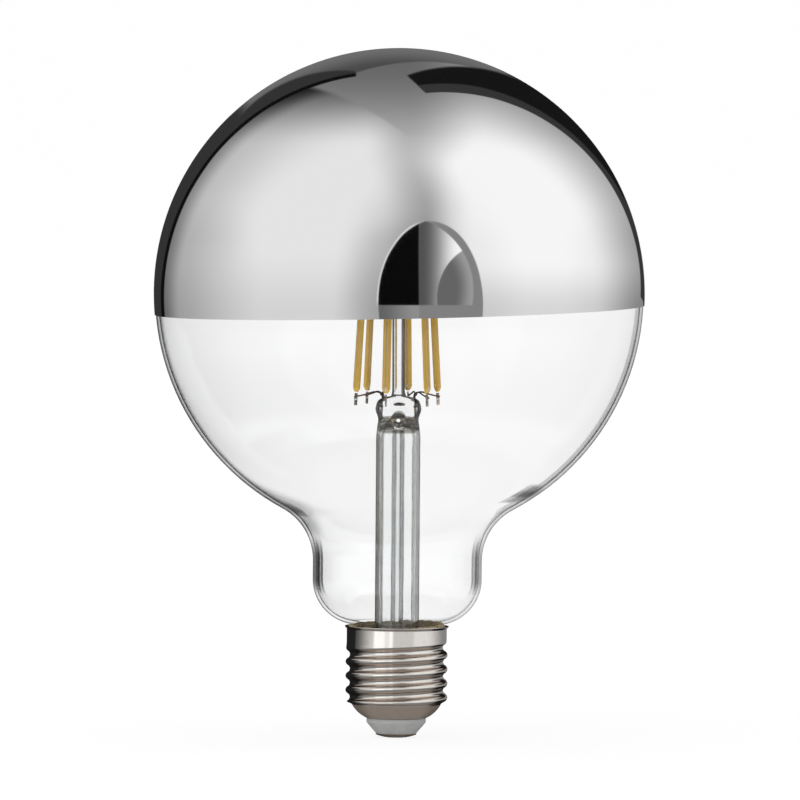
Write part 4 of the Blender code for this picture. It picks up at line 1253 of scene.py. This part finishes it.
def feed_path(strips, wires, top, azimuth):
    """Return the bent path of a feed wire from a lead's top to the side of a lower tab."""
    tab = cage_point(strips, azimuth, wires.weld_height)
    across = Vector((-math.sin(azimuth), math.cos(azimuth), 0.0))
    side = 1.0 if (top - tab).dot(across) > 0.0 else -1.0
    beside = side * (strips.tab_thickness / 2 + wires.feed_radius)
    end = cage_point(strips, azimuth, wires.weld_height, sideways=beside)
    overshoot = cage_point(strips, azimuth, wires.weld_height, outward=0.35 * MM, sideways=beside)
    first = top.lerp(end, 0.12) + Vector((0.0, 0.0, 0.55 * MM))
    apex = top.lerp(end, 0.32) + Vector((0.0, 0.0, 0.75 * MM))
    middle = top.lerp(end, 0.62) + Vector((0.0, 0.0, 0.35 * MM))
    return smooth_path([tuple(p) for p in (top, first, apex, middle, end, overshoot)], 6)


def oxidised_finish(wires):
    """Return the inner leads' oxide, dark by the press and warmer towards the welds."""
    material, graph = new_finish("oxidised_wire")
    place = graph.place()
    x, y, _ = graph.parts(place)
    patches = graph.ramp(graph.noise(place, 0.8, 4.0, 0.6), 0.40, 0.70)
    out = graph.ramp((x * x + y * y) ** 0.5, 5.5, 9.5)
    warm = graph.larger(0.25 * patches, out * (0.55 + 0.35 * patches))
    graph.surface(
        Base_Color=graph.blend(warm, wires.oxide, wires.oxide_warm),
        Metallic=1.0,
        Roughness=0.38 + 0.18 * patches,
        Normal=graph.bump(graph.noise(place, 7.0, 3.0), 0.02, 0.8),
    )
    return material


def build_inner_leads(strips, wires):
    """Stand the oxidised leads on the seals and weld their feed wires to the lower tabs."""
    finish = oxidised_finish(wires)
    joint = Z_PRESS_TOP - 3.0 * MM
    sides = (("left", -1.0, strips.first_azimuth + math.pi), ("right", 1.0, strips.first_azimuth))
    for side, sign, middle in sides:
        x = sign * wires.lead_offset
        top = Vector((x + sign * wires.lead_spread, 0.0, Z_PRESS_TOP + wires.lead_rise))
        path = smooth_path([(x, 0.0, joint), (x, 0.0, Z_PRESS_TOP - 0.5 * MM), tuple(top)], 6)
        shapes = [tube(path, wires.inner_radius, 16)]
        low = top - Vector((0.0, 0.0, wires.inner_radius))
        shapes.append(bead(low, 1.35 * wires.inner_radius, sign))
        shapes.append(bead((x, 0.0, joint + 0.3 * MM), 1.3 * wires.inner_radius, 2.0 * sign))
        fed = [a for a in strip_azimuths(strips) if math.cos(a - middle) > 0.0]
        for azimuth in fed:
            route = feed_path(strips, wires, low, azimuth)
            shapes.append(tube(route, wires.feed_radius, 12))
            shapes.append(bead(route[-6], 1.5 * wires.feed_radius, azimuth))
        mesh = joined("lead", shapes)
        place_piece("lead_" + side, mesh, finish, ["inner_lead_" + side])


def build_seal_and_outer_leads(wires):
    """Run the copper seal wires in the press and the outer leads down the stem."""
    copper = metal("seal_copper", wires.copper, wires.oxide_warm, 0.3, 0.9, 0.01, 0.6)
    tinned = metal("tinned_wire", wires.tinned, wires.tarnish, 0.32, 0.5, 0.03, 0.45)
    for side, sign in (("left", -1.0), ("right", 1.0)):
        low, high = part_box("seal_wire_" + side)
        x = sign * wires.lead_offset
        mesh = mesh_from("seal", tube([(x, 0.0, low[2]), (x, 0.0, high[2])], wires.seal_radius, 16))
        place_piece("copper_seal_" + side, mesh, copper, ["seal_wire_" + side])
        low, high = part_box("outer_lead_" + side)
        foot_x = low[0] + wires.outer_radius if sign < 0.0 else high[0] - wires.outer_radius
        foot_y = high[1] - wires.outer_radius if sign < 0.0 else low[1] + wires.outer_radius
        top = high[2]
        bend = top - 4.5 * MM
        low_x = wires.outer_offset if sign > 0.0 else -wires.outer_offset_left
        points = [(x, 0.0, top), (x, 0.0, top - 1.5 * MM), (low_x, 0.0, bend)]
        steps = 9
        for i in range(1, steps):
            t = i / steps
            height = bend + (Z_FLARE - bend) * t
            sway = 0.18 * MM * noise.noise(Vector((4.0 * t, 7.0 * sign, 0.0)))
            points.append((low_x - sign * abs(sway), 3.0 * sway, height))
        points.append((low_x, 0.0, Z_FLARE))
        points += [(foot_x, foot_y, Z_FLARE - 3.0 * MM), (foot_x, foot_y, low[2])]
        mesh = mesh_from("outer", tube(smooth_path(points, 6), wires.outer_radius, 12))
        place_piece("stem_lead_" + side, mesh, tinned, ["outer_lead_" + side])


def groove_depth(cap, along):
    """Return the depth below the crest of a thread that is made of touching arcs."""
    quarter = cap.thread_pitch / 4
    radius = (quarter ** 2 + (cap.thread_depth / 2) ** 2) / cap.thread_depth
    from_crest = abs(along - round(along)) * cap.thread_pitch
    if from_crest < quarter:
        return radius - math.sqrt(radius ** 2 - from_crest ** 2)
    from_root = 2.0 * quarter - from_crest
    return cap.thread_depth - radius + math.sqrt(radius ** 2 - from_root ** 2)


def thread_radius(cap, azimuth, height):
    """Return the screw shell's outer radius, with the thread's last groove running out."""
    root = cap.crest_radius - cap.thread_depth
    z_thread = Z_SHELL + cap.taper_height
    z_top = z_thread + cap.thread_length
    z_crest = z_top - cap.thread_pitch / 2
    turn = (azimuth % math.tau) / math.tau
    along = (height - z_crest) / cap.thread_pitch - turn
    groove_turn = math.floor(along) + turn
    groove = groove_depth(cap, along) / cap.thread_depth
    groove *= 1.0 - smooth_step(0.0, cap.run_out_turns, groove_turn)
    to_band = smooth_step(z_crest, z_top + cap.thread_pitch / 2, height)
    crest = cap.crest_radius + (cap.band_radius - cap.crest_radius) * to_band
    start = smooth_step(z_thread, z_thread + cap.thread_pitch / 4, height)
    low = root - cap.taper_tuck
    return low + start * (crest - cap.thread_depth * groove - low)


def taper_profile(cap, inward):
    """Return the shell's rounded lower end at an inward offset, from its hole to the thread."""
    root = cap.crest_radius - cap.thread_depth - cap.taper_tuck
    start = (cap.seat_radius - inward, Z_SHELL + 0.5 * inward)
    end = (root - inward, Z_SHELL + cap.taper_height)
    control = tuple(a + part * (b - a) for a, b, part in zip(start, end, (0.68, 0.36)))
    steps = 14
    return [
        tuple(
            (1.0 - t) ** 2 * a + 2.0 * t * (1.0 - t) * b + t ** 2 * c
            for a, b, c in zip(start, control, end)
        )
        for t in (i / steps for i in range(steps + 1))
    ]


def shell_rings(cap, inward):
    """Return the rings of the screw shell at an inward offset, bottom to top."""
    count = 192
    angles = [math.tau * k / count for k in range(count)]
    rings = [circle(radius, height, count) for radius, height in taper_profile(cap, inward)[:-1]]
    z_thread = Z_SHELL + cap.taper_height
    tall = cap.thread_length + cap.thread_pitch / 2
    rows = 84
    for i in range(rows + 1):
        height = z_thread + tall * i / rows
        radii = [thread_radius(cap, a, height) - inward for a in angles]
        rings.append([(r * math.cos(a), r * math.sin(a), height) for r, a in zip(radii, angles)])
    steps = 6
    half_sheet = cap.sheet / 2
    for i in range(steps + 1):
        t = i / steps
        radius = cap.band_radius + cap.lip_flare * math.sin(math.pi / 2 * t) ** 2 - inward
        rings.append(circle(radius, Z_RIM - half_sheet - cap.lip_height * (1.0 - t), count))
    # The rim is rolled: each side of the sheet adds one quarter of its round edge
    middle = cap.band_radius + cap.lip_flare - half_sheet
    out = half_sheet if inward == 0.0 else -half_sheet
    for i in range(1, steps):
        a = math.pi / 2 * i / steps
        height = Z_RIM - half_sheet * (1.0 - math.sin(a))
        rings.append(circle(middle + out * math.cos(a), height, count))
    return rings


def build_shell(cap):
    """Press the threaded shell, with its band, its lip and its rounded lower end."""
    rings = shell_rings(cap, 0.0) + shell_rings(cap, cap.sheet)[::-1]
    mesh = mesh_from("threaded_shell", skin(rings, cyclic=True), 50.0)
    place_piece("threaded_shell", mesh, nickel(cap), ["screw_shell"])


def build_insulator(cap):
    """Mould the insulator, snapped through the shell's lower hole."""
    hole = cap.shank_radius + GAP
    collar = cap.seat_radius - cap.sheet - GAP
    flange = collar + 0.9 * MM
    rim = Z_SHELL - 0.03 * MM
    bottom = Z_CONTACT_PLATE + 0.02 * MM
    under = Z_INSULATOR_TOP - 0.7 * MM
    tip = cap.insulator_tip_radius
    wide = cap.insulator_radius
    tip_round, lower_round, upper_round, chamfer = (0.06 * MM, 0.35 * MM, 0.25 * MM, 0.1 * MM)
    steps = 5
    profile = [
        (hole, bottom),
        (tip - tip_round, bottom),
        (tip, bottom + tip_round),
        *arc(wide - lower_round, rim - 0.95 * MM, lower_round, -0.7, 0.0, steps),
        *arc(wide - upper_round, rim - upper_round, upper_round, 0.0, math.pi / 2, steps),
        (collar, rim),
        (collar, under),
        (flange - chamfer, under),
        (flange, under + chamfer),
        (flange, Z_INSULATOR_TOP - chamfer),
        (flange - chamfer, Z_INSULATOR_TOP),
        (hole, Z_INSULATOR_TOP),
    ]
    mesh = mesh_from("insulator_cone", turned(profile, 96, cyclic=True), 30.0)
    finish = moulded("insulator_grey", cap.insulator, 0.42, 2.0, 0.015, 0.0, 0.12)
    place_piece("insulator_cone", mesh, finish, ["insulator"])


def build_contact(cap):
    """Turn the domed contact with its small flat tip, rolled rim and shank."""
    thickness = Z_CONTACT_PLATE
    steps = 24
    rise = cap.contact_radius - cap.contact_flat_radius
    profile = [(0.0, 0.0)]
    for i in range(steps + 1):
        t = i / steps
        ripple = 0.03 * MM * math.sin(math.pi * min(t / 0.6, 1.0)) ** 2
        profile.append((cap.contact_flat_radius + rise * t, 0.8 * thickness * t * t - ripple * t))
    profile += [
        (cap.contact_radius + 0.02 * MM, 0.9 * thickness),
        (cap.contact_radius - 0.06 * MM, thickness),
        (cap.shank_radius, thickness),
        (cap.shank_radius, Z_CONTACT_TOP),
        (0.0, Z_CONTACT_TOP),
    ]
    mesh = mesh_from("contact_dome", turned(profile, 80), 40.0)
    place_piece("contact_dome", mesh, contact_finish(cap), ["centre_contact"])


def build_cement(globe, cap):
    """Fill the space between the glass tail and the band, with cement squeezed out over it."""
    count = 180
    inner = globe.tail_radius + 0.05 * MM
    outer = cap.band_radius - cap.sheet - 0.05 * MM
    rows = 10
    top_points = 10
    # The cement swells over this height, most at one side
    base = Z_RIM - 0.6 * MM
    high_side = math.radians(50.0)
    loops = []
    for k in range(count):
        a = math.tau * k / count
        c = math.cos(a)
        s = math.sin(a)
        lump = noise.fractal(Vector((2.6 * c, 2.6 * s, 4.0)), 0.8, 2.0, 4)
        fine = noise.noise(Vector((12.0 * c, 12.0 * s, 9.0)))
        lean = 0.35 + 0.50 * math.cos(a - high_side)
        crest = Z_RIM + (lean + 0.3 * lump + 0.1 * fine) * MM
        loop = []
        for i in range(rows + 1):
            rough = 0.05 * MM * noise.noise(Vector((9.0 * c, 9.0 * s, 0.9 * i)))
            height = Z_CEMENT + (base - Z_CEMENT) * i / rows
            loop.append((outer + min(rough, 0.0), height))
        for i in range(1, top_points):
            t = i / top_points
            bulge = math.sin(math.pi * t) ** 0.6
            loop.append((outer + (inner - outer) * t, base + (crest - base) * bulge))
        loop.append((inner, base))
        loop.append((inner, Z_CEMENT))
        loops.append([(r * c, r * s, z) for r, z in loop])
    mesh = mesh_from("cement_ring", skin(loops, cyclic=True), 60.0)
    place_piece("cement_ring", mesh, cement_finish(cap), ["basing_cement"])


def build_driver(settings, wires):
    """Give the driver's pieces inside the cap their finishes."""
    tinned = metal("hookup_wire", wires.tinned, wires.tarnish, 0.3)
    packages = moulded("package_black", settings.moulding, 0.5, 3.0, 0.02)
    finishes = {
        "driver_board": board_finish(settings),
        "capacitor": moulded("capacitor_sleeve", settings.sleeve, 0.3, 1.0, 0.01, 0.4),
        "rectifier": packages,
        "driver_chip": packages,
        "inductor": winding_finish(settings),
        "fusible_resistor": moulded("resistor_green", settings.resistor, 0.35, 2.0, 0.02, 0.3),
        "contact_wire": tinned,
        "shell_wire": tinned,
    }
    for node, finish in finishes.items():
        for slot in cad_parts[node].material_slots:
            slot.material = finish


def camera_turn(studio):
    """Return the camera's turn, with its roll."""
    tilt = Matrix.Rotation(math.pi / 2 - studio.elevation, 4, "X")
    return tilt @ Matrix.Rotation(studio.roll, 4, "Z")


class BallView:
    """Where a silvered ball at the lamp would show each direction of the room to the camera.

    u runs to the right and v up, from -1 to 1 over the ball, and edge is the distance from its middle.
    """

    def __init__(self, graph, studio):
        self.graph = graph
        turn = camera_turn(studio)
        axes = (Vector((1.0, 0.0, 0.0)), Vector((0.0, 1.0, 0.0)), Vector((0.0, 0.0, -1.0)))
        direction = graph.node("TexCoord", output="Generated")
        across, rise, depth = (
            graph.vector("DOT_PRODUCT", direction, tuple(turn @ axis), output="Value") for axis in axes
        )
        # A little over 2, so that the root stays above 0 straight ahead
        size = graph.math("SQRT", 2.0005 - 2.0 * depth)
        # The camera is near enough to show the ball's middle a little larger
        nearer = 1.0 + 0.004 * size
        self.u = nearer * across / size
        self.v = nearer * rise / size + 0.005
        self.edge = graph.math("SQRT", self.u * self.u + self.v * self.v)

    def reach(self, centre, radii=(1.0, 1.0)):
        """Return the distance from a centre, measured in an ellipse's two radii."""
        du = (self.u - centre[0]) / radii[0]
        dv = (self.v - centre[1]) / radii[1]
        return self.graph.math("SQRT", du * du + dv * dv)

    def inside(self, distance, radius, soft=0.006):
        """Return 1 within a radius and 0 past it."""
        return 1.0 - self.graph.ramp(distance, radius - soft, radius + soft)


def over(under, level, mask):
    """Return a level laid over what is under it."""
    return under + (level - under) * mask


def soft_boxes(ball, flag_reach, wedge_reach):
    """Return the two soft boxes with a grey valley between them, which leans left at the top."""
    ramp = ball.graph.ramp
    u = ball.u
    v = ball.v
    bright_left = 0.91
    bright_right = 0.985
    middle = 0.12 - 0.07 * ramp(v, 0.33, 0.58)
    low_down = 1.0 - ramp(v, 0.20, 0.42)
    left_box = bright_left - 0.46 * ramp(v, 0.60, 0.92) - 0.07 * ramp(v, 0.20, -0.10)
    left_box = left_box - 0.06 * low_down * ramp(u, -0.55, -0.72)
    left_box = left_box - 0.17 * ramp(flag_reach, 0.60, 0.90) - 0.22 * ramp(flag_reach, 0.84, 0.915)
    right_box = bright_right - 0.36 * ramp(wedge_reach, 0.60, 0.86) - 0.04 * ramp(v, 0.55, 0.70)
    right_box = right_box - 0.13 * ramp(v, 0.15, -0.08) - 0.05 * low_down * ramp(u, 0.65, 0.85)
    valley = 0.75 - 0.34 * ramp(v, 0.52, 0.95)
    box_edge = 1.0 - ball.inside(ball.reach((-0.572, -0.016)), 0.885, 0.012)
    box_edge = box_edge * ramp(v, 0.52, 0.66)
    fade = ramp(u - middle, -0.20, 0.0) * 0.93
    level = over(left_box, valley, ball.graph.larger(fade, box_edge))
    rise_width = 0.19 + 0.13 * ramp(v, 0.50, 0.68)
    return over(level, right_box, ramp(u - middle, -0.02, rise_width))


def dark_flags(ball, level, flag_reach, wedge_reach):
    """Return the level with the ceiling over the boxes and a dark flag at each side."""
    ramp = ball.graph.ramp
    u = ball.u
    v = ball.v
    left_flag, left_border, right_flag, right_strip = (0.21, 0.08, 0.11, 0.22)
    # A curved line closes the boxes at the top
    line = v - 0.948 + 0.6 * (u - 0.1) * (u - 0.1)
    ceiling = 0.30 + 0.13 * ramp(ball.edge, 0.93, 1.0)
    level = over(level, ceiling, ramp(line, -0.004, 0.004) * ramp(u, -0.19, -0.17))
    # The flag at the left has a black border
    lit_rim = ball.graph.larger(ball.inside(ball.reach((-0.233, 0.356)), 0.556), ramp(u, -0.58, -0.66))
    outside = ramp(flag_reach, 0.904, 0.910)
    to_left = ramp(u, -0.170, -0.182)
    level = over(level, ceiling, outside * to_left * ramp(v, 0.4, 0.5))
    flag = outside * to_left * lit_rim
    level = over(level, left_flag, flag)
    level = over(level, left_border, flag * ball.inside(flag_reach, 0.919, 0.003))
    # The flag at the right has a lighter strip along its lower edge
    lit_rim = ball.graph.larger(ball.inside(ball.reach((0.237, 0.343)), 0.585), ramp(u, 0.55, 0.62))
    wedge = ramp(wedge_reach, 0.794, 0.800) * lit_rim * ramp(u + 1.077 * v, 0.985, 0.997)
    level = over(level, right_flag, wedge)
    strip_width = 0.832 - 0.018 * ramp(u, 0.2, 0.8)
    strip = 1.0 - ramp(wedge_reach - strip_width, -0.003, 0.003)
    return over(level, right_strip, wedge * strip)


def arched_opening(ball, level):
    """Return the level with the arched opening in the middle: black, a wall and a door."""
    ramp = ball.graph.ramp
    u = ball.u
    v = ball.v
    black, jamb, lit = (0.07, 0.51, 0.86)
    arch_reach = ball.reach((0.1255, -0.035), (0.2145, 0.33))
    door_reach = ball.reach((0.004, 0.016))
    # A soft shade lies round the opening, and a lit line along its left edge
    shade = (1.0 - ramp(arch_reach, 0.95, 1.95)) * (0.20 - 0.15 * ramp(u, 0.10, 0.22))
    level = level - shade * (1.0 - 0.3 * ramp(v, 0.20, 0.33))
    on_left = ramp(u, 0.12, 0.04)
    lit_line = ball.inside(arch_reach, 1.008, 0.008) * on_left * ramp(v, -0.06, -0.02)
    level = over(level, lit, lit_line)
    wall = 0.33 + 0.66 * ramp(u, 0.09, 0.25)
    wall = over(wall, black, ramp(u, 0.082, 0.076))
    door = 0.40 + 0.21 * ramp(door_reach, 0.225, 0.30)
    wall = over(wall, door, ball.inside(ball.reach((0.382, -0.012)), 0.227, 0.003))
    foot = 0.39 + 0.17 * ramp(u, -0.09, 0.07) - 0.05 * ramp(u, 0.078, 0.084)
    wall = over(wall, foot, ramp(v, -0.042, -0.046))
    wall = over(wall, jamb, ramp(door_reach, 0.296, 0.301))
    return over(level, wall, ball.inside(arch_reach + 0.02 * on_left, 1.0, 0.010))


def studio_floor(ball, level):
    """Return the level with the floor below, with dark sides that outline clear glass."""
    ramp = ball.graph.ramp
    across_row = abs(ball.u) / ball.graph.math("SQRT", 1.02 - ball.v * ball.v)
    floor = 0.97 - 0.40 * ramp(across_row, 0.60, 0.90) - 0.25 * ramp(across_row, 0.88, 0.99)
    # The space right under the lamp is dim
    floor = floor * (1.0 - 0.38 * ramp(ball.v, -0.20, -0.40))
    return over(level, floor, ramp(ball.v, -0.11, -0.17))


def reflected_studio(graph, studio):
    """Return the screen level of the studio that polished surfaces reflect, by direction."""
    ball = BallView(graph, studio)
    flag_reach = ball.reach(LEFT_FLAG_CENTRE)
    wedge_reach = ball.reach(RIGHT_FLAG_CENTRE)
    level = soft_boxes(ball, flag_reach, wedge_reach)
    level = dark_flags(ball, level, flag_reach, wedge_reach)
    return studio_floor(ball, arched_opening(ball, level))


def build_world(studio):
    """Light the lamp evenly, and show a white backdrop or the reflected studio where they are seen."""
    world = bpy.data.worlds.new("studio")
    world.use_nodes = True
    bpy.context.scene.world = world
    graph = Graph(world.node_tree)
    light = graph.larger(reflected_studio(graph, studio), 0.0) ** SCREEN_GAMMA
    backdrop = graph.larger(graph.ray("Camera"), graph.ray("Transmission"))
    plain = studio.fill + (1.0 - studio.fill) * backdrop
    strength = plain + (light - plain) * graph.ray("Glossy")
    background = graph.node("Background", inputs={"Color": WHITE, "Strength": strength})
    graph.node("OutputWorld", inputs={"Surface": background})


def build_reflector(studio):
    """Hang the low ring of cards that only glossy rays see, mostly in the cap's metal, from -180 to 180
    degrees.

    Its azimuth is counted from the camera's side, to the right. It lies under the mirror's view.
    """
    sides = 96
    rings = [
        circle(studio.reflector_radius, height, sides)
        for height in (studio.reflector_bottom, studio.reflector_top)
    ]
    shape = bmesh.new()
    loops = [[shape.verts.new(point) for point in ring] for ring in rings]
    for i in range(sides):
        j = (i + 1) % sides
        shape.faces.new((loops[0][i], loops[0][j], loops[1][j], loops[1][i]))
    mesh = mesh_from("reflector", shape)
    ring = linked("reflector", mesh)
    material, graph = new_finish("reflector_cards")
    x, y, z = graph.parts(graph.place())
    azimuth = graph.math("ARCTAN2", x, 0.0 - y) * math.degrees(1.0)
    # Each step changes the level by its amount between two azimuths
    level = 0.15 + 0.10 * graph.band(azimuth, -19.0, -13.0, -11.0, -5.0)
    steps = (
        (0.15, -106.0, -101.0),
        (0.54, -108.0, -48.0),
        (0.22, -54.0, -47.0),
        (-0.11, -30.0, -22.0),
        (-0.14, -11.0, -5.0),
        (0.09, 31.0, 42.0),
        (-0.37, 66.0, 132.0),
    )
    for amount, start, end in steps:
        level = level + amount * graph.ramp(azimuth, start, end)
    # Bright over the level row and dim under it, but dark at both where the ring turns away
    ahead = graph.band(azimuth, -100.0, -84.0, 86.0, 108.0)
    level = level + (0.96 - level) * ahead * graph.ramp(z, 27.0, 36.0)
    level = level + (0.50 - level) * ahead * graph.ramp(z, 3.0, -6.0)
    off_row = graph.larger(graph.ramp(z, 26.0, 32.0), graph.ramp(z, 4.0, -4.0))
    level = level + (0.14 - level) * graph.ramp(azimuth, 88.0, 112.0) * off_row
    bottom = studio.reflector_bottom / MM
    top = studio.reflector_top / MM
    shown = graph.band(z, bottom, bottom + 16.0, top - 18.0, top)
    clear = graph.node("BsdfTransparent", inputs={"Color": WHITE})
    cards = graph.node("Emission", inputs={"Color": WHITE, "Strength": level ** SCREEN_GAMMA})
    graph.mixed_shader(shown, clear, cards)
    mesh.materials.append(material)
    ring.visible_camera = False
    ring.visible_diffuse = False
    ring.visible_transmission = False
    ring.visible_shadow = False


def build_floor(studio):
    """Lay the pale floor that stays white and keeps the lamp's shadow."""
    shape = bmesh.new()
    bmesh.ops.create_grid(shape, x_segments=2, y_segments=2, size=FLOOR_HALF_SIZE)
    mesh = mesh_from("floor", shape)
    floor = linked("floor", mesh)
    material, graph = new_finish("floor_white")
    seen = graph.larger(graph.ray("Camera"), graph.larger(graph.ray("Transmission"), graph.ray("Glossy")))
    matt = graph.node("BsdfDiffuse", inputs={"Color": FLOOR_WHITE})
    white = graph.node("Emission", inputs={"Color": WHITE, "Strength": 1.0})
    graph.mixed_shader(seen * studio.backdrop, matt, white)
    mesh.materials.append(material)
    floor.visible_glossy = False


def add_soft_light(name, place, size, power):
    """Hang a square soft light that faces the lamp's middle."""
    light = bpy.data.lights.new(name, "AREA")
    light.shape = "SQUARE"
    light.size = size
    light.energy = power
    item = linked(name, light)
    item.location = place
    aim = Vector((0.0, 0.0, 0.5 * Z_GLOBE_TOP)) - Vector(place)
    item.rotation_euler = aim.to_track_quat("-Z", "Y").to_euler()
    item.visible_glossy = False
    item.visible_camera = False
    item.visible_transmission = False


def build_camera(studio):
    """Set the camera at the photograph's angle."""
    camera = bpy.data.cameras.new("camera")
    camera.lens = studio.lens
    camera.sensor_width = studio.sensor
    camera.clip_end = 100.0
    item = linked("camera", camera)
    turn = camera_turn(studio)
    distance = studio.frame_width * studio.lens / studio.sensor
    aim = Vector((studio.aim_x, 0.0, studio.aim_height))
    item.matrix_world = Matrix.Translation(aim + turn @ Vector((0.0, 0.0, distance))) @ turn
    bpy.context.scene.camera = item
    bpy.context.scene.view_settings.view_transform = "Standard"


class LAMP_OT_globe(Operator):
    """Blow the clear globe and its neck"""

    bl_idname = "lamp.globe"
    bl_label = "Clear globe"

    def execute(self, context):
        build_globe(context.scene.lamp_globe)
        return {"FINISHED"}


class LAMP_OT_film(Operator):
    """Lay the mirror film on the globe's top"""

    bl_idname = "lamp.film"
    bl_label = "Mirror film"

    def execute(self, context):
        build_film(context.scene.lamp_globe)
        return {"FINISHED"}


class LAMP_OT_stem(Operator):
    """Form the stem, its exhaust tube and its rod"""

    bl_idname = "lamp.stem"
    bl_label = "Stem glass"

    def execute(self, context):
        stem = context.scene.lamp_stem
        build_stem(stem, context.scene.lamp_wires)
        build_exhaust(stem)
        return {"FINISHED"}


class LAMP_OT_strips(Operator):
    """Set the light strips and their tabs in a ring"""

    bl_idname = "lamp.strips"
    bl_label = "Light strips"

    def execute(self, context):
        build_strips(context.scene.lamp_strips)
        return {"FINISHED"}


class LAMP_OT_crown(Operator):
    """Join the upper tabs with the crown"""

    bl_idname = "lamp.crown"
    bl_label = "Crown"

    def execute(self, context):
        build_crown(context.scene.lamp_strips, context.scene.lamp_stem)
        return {"FINISHED"}


class LAMP_OT_leads(Operator):
    """Run the lead wires from the tabs down to the board"""

    bl_idname = "lamp.leads"
    bl_label = "Lead wires"

    def execute(self, context):
        build_inner_leads(context.scene.lamp_strips, context.scene.lamp_wires)
        build_seal_and_outer_leads(context.scene.lamp_wires)
        return {"FINISHED"}


class LAMP_OT_shell(Operator):
    """Press the threaded shell"""

    bl_idname = "lamp.shell"
    bl_label = "Screw shell"

    def execute(self, context):
        build_shell(context.scene.lamp_cap)
        return {"FINISHED"}


class LAMP_OT_insulator(Operator):
    """Mould the insulator and turn the centre contact"""

    bl_idname = "lamp.insulator"
    bl_label = "Insulator and contact"

    def execute(self, context):
        build_insulator(context.scene.lamp_cap)
        build_contact(context.scene.lamp_cap)
        return {"FINISHED"}


class LAMP_OT_cement(Operator):
    """Fill the cap with cement round the glass"""

    bl_idname = "lamp.cement"
    bl_label = "Cement"

    def execute(self, context):
        build_cement(context.scene.lamp_globe, context.scene.lamp_cap)
        return {"FINISHED"}


class LAMP_OT_driver(Operator):
    """Finish the driver's pieces inside the cap"""

    bl_idname = "lamp.driver"
    bl_label = "Driver finishes"

    def execute(self, context):
        build_driver(context.scene.lamp_driver, context.scene.lamp_wires)
        return {"FINISHED"}


class LAMP_OT_studio(Operator):
    """Set up the floor, the light and the camera"""

    bl_idname = "lamp.studio"
    bl_label = "Studio"

    def execute(self, context):
        studio = context.scene.lamp_studio
        build_world(studio)
        build_floor(studio)
        build_reflector(studio)
        add_soft_light("key_light", (-1.3, -1.6, 1.5), 1.2, studio.key_power)
        add_soft_light("rear_light_left", (-1.6, 1.5, 1.0), 1.0, studio.rim_power)
        add_soft_light("rear_light_right", (1.6, 1.5, 1.0), 1.0, studio.rim_power)
        build_camera(studio)
        return {"FINISHED"}


OPERATORS = (
    LAMP_OT_globe,
    LAMP_OT_film,
    LAMP_OT_stem,
    LAMP_OT_strips,
    LAMP_OT_crown,
    LAMP_OT_leads,
    LAMP_OT_shell,
    LAMP_OT_insulator,
    LAMP_OT_cement,
    LAMP_OT_driver,
    LAMP_OT_studio,
)

SETTINGS = {
    "lamp_globe": GlobeSettings,
    "lamp_stem": StemSettings,
    "lamp_strips": StripSettings,
    "lamp_wires": WireSettings,
    "lamp_cap": CapSettings,
    "lamp_driver": DriverSettings,
    "lamp_studio": StudioSettings,
}


class LAMP_PT_parts(Panel):
    """List the lamp's operators and settings."""

    bl_idname = "LAMP_PT_parts"
    bl_label = "Mirrored globe lamp"
    bl_space_type = "VIEW_3D"
    bl_region_type = "UI"
    bl_category = "Lamp"

    def draw(self, context):
        column = self.layout.column(align=True)
        for operator in OPERATORS:
            column.operator(operator.bl_idname)
        for name, group in SETTINGS.items():
            box = self.layout.box()
            box.label(text=name.replace("_", " ").capitalize())
            for setting in group.__annotations__:
                box.prop(getattr(context.scene, name), setting)


def register():
    """Register the settings, the operators and the panel."""
    for name, group in SETTINGS.items():
        bpy.utils.register_class(group)
        setattr(bpy.types.Scene, name, PointerProperty(type=group))
    for item in (*OPERATORS, LAMP_PT_parts):
        bpy.utils.register_class(item)


def unregister():
    """Take the panel, the operators and the settings away again."""
    for item in (LAMP_PT_parts, *reversed(OPERATORS)):
        bpy.utils.unregister_class(item)
    for name, group in reversed(SETTINGS.items()):
        delattr(bpy.types.Scene, name)
        bpy.utils.unregister_class(group)


def main():
    """Dress the lamp."""
    register()
    for operator in OPERATORS:
        name = operator.bl_idname.split(".")[1]
        getattr(bpy.ops.lamp, name)()


if __name__ == "__main__":
    main()
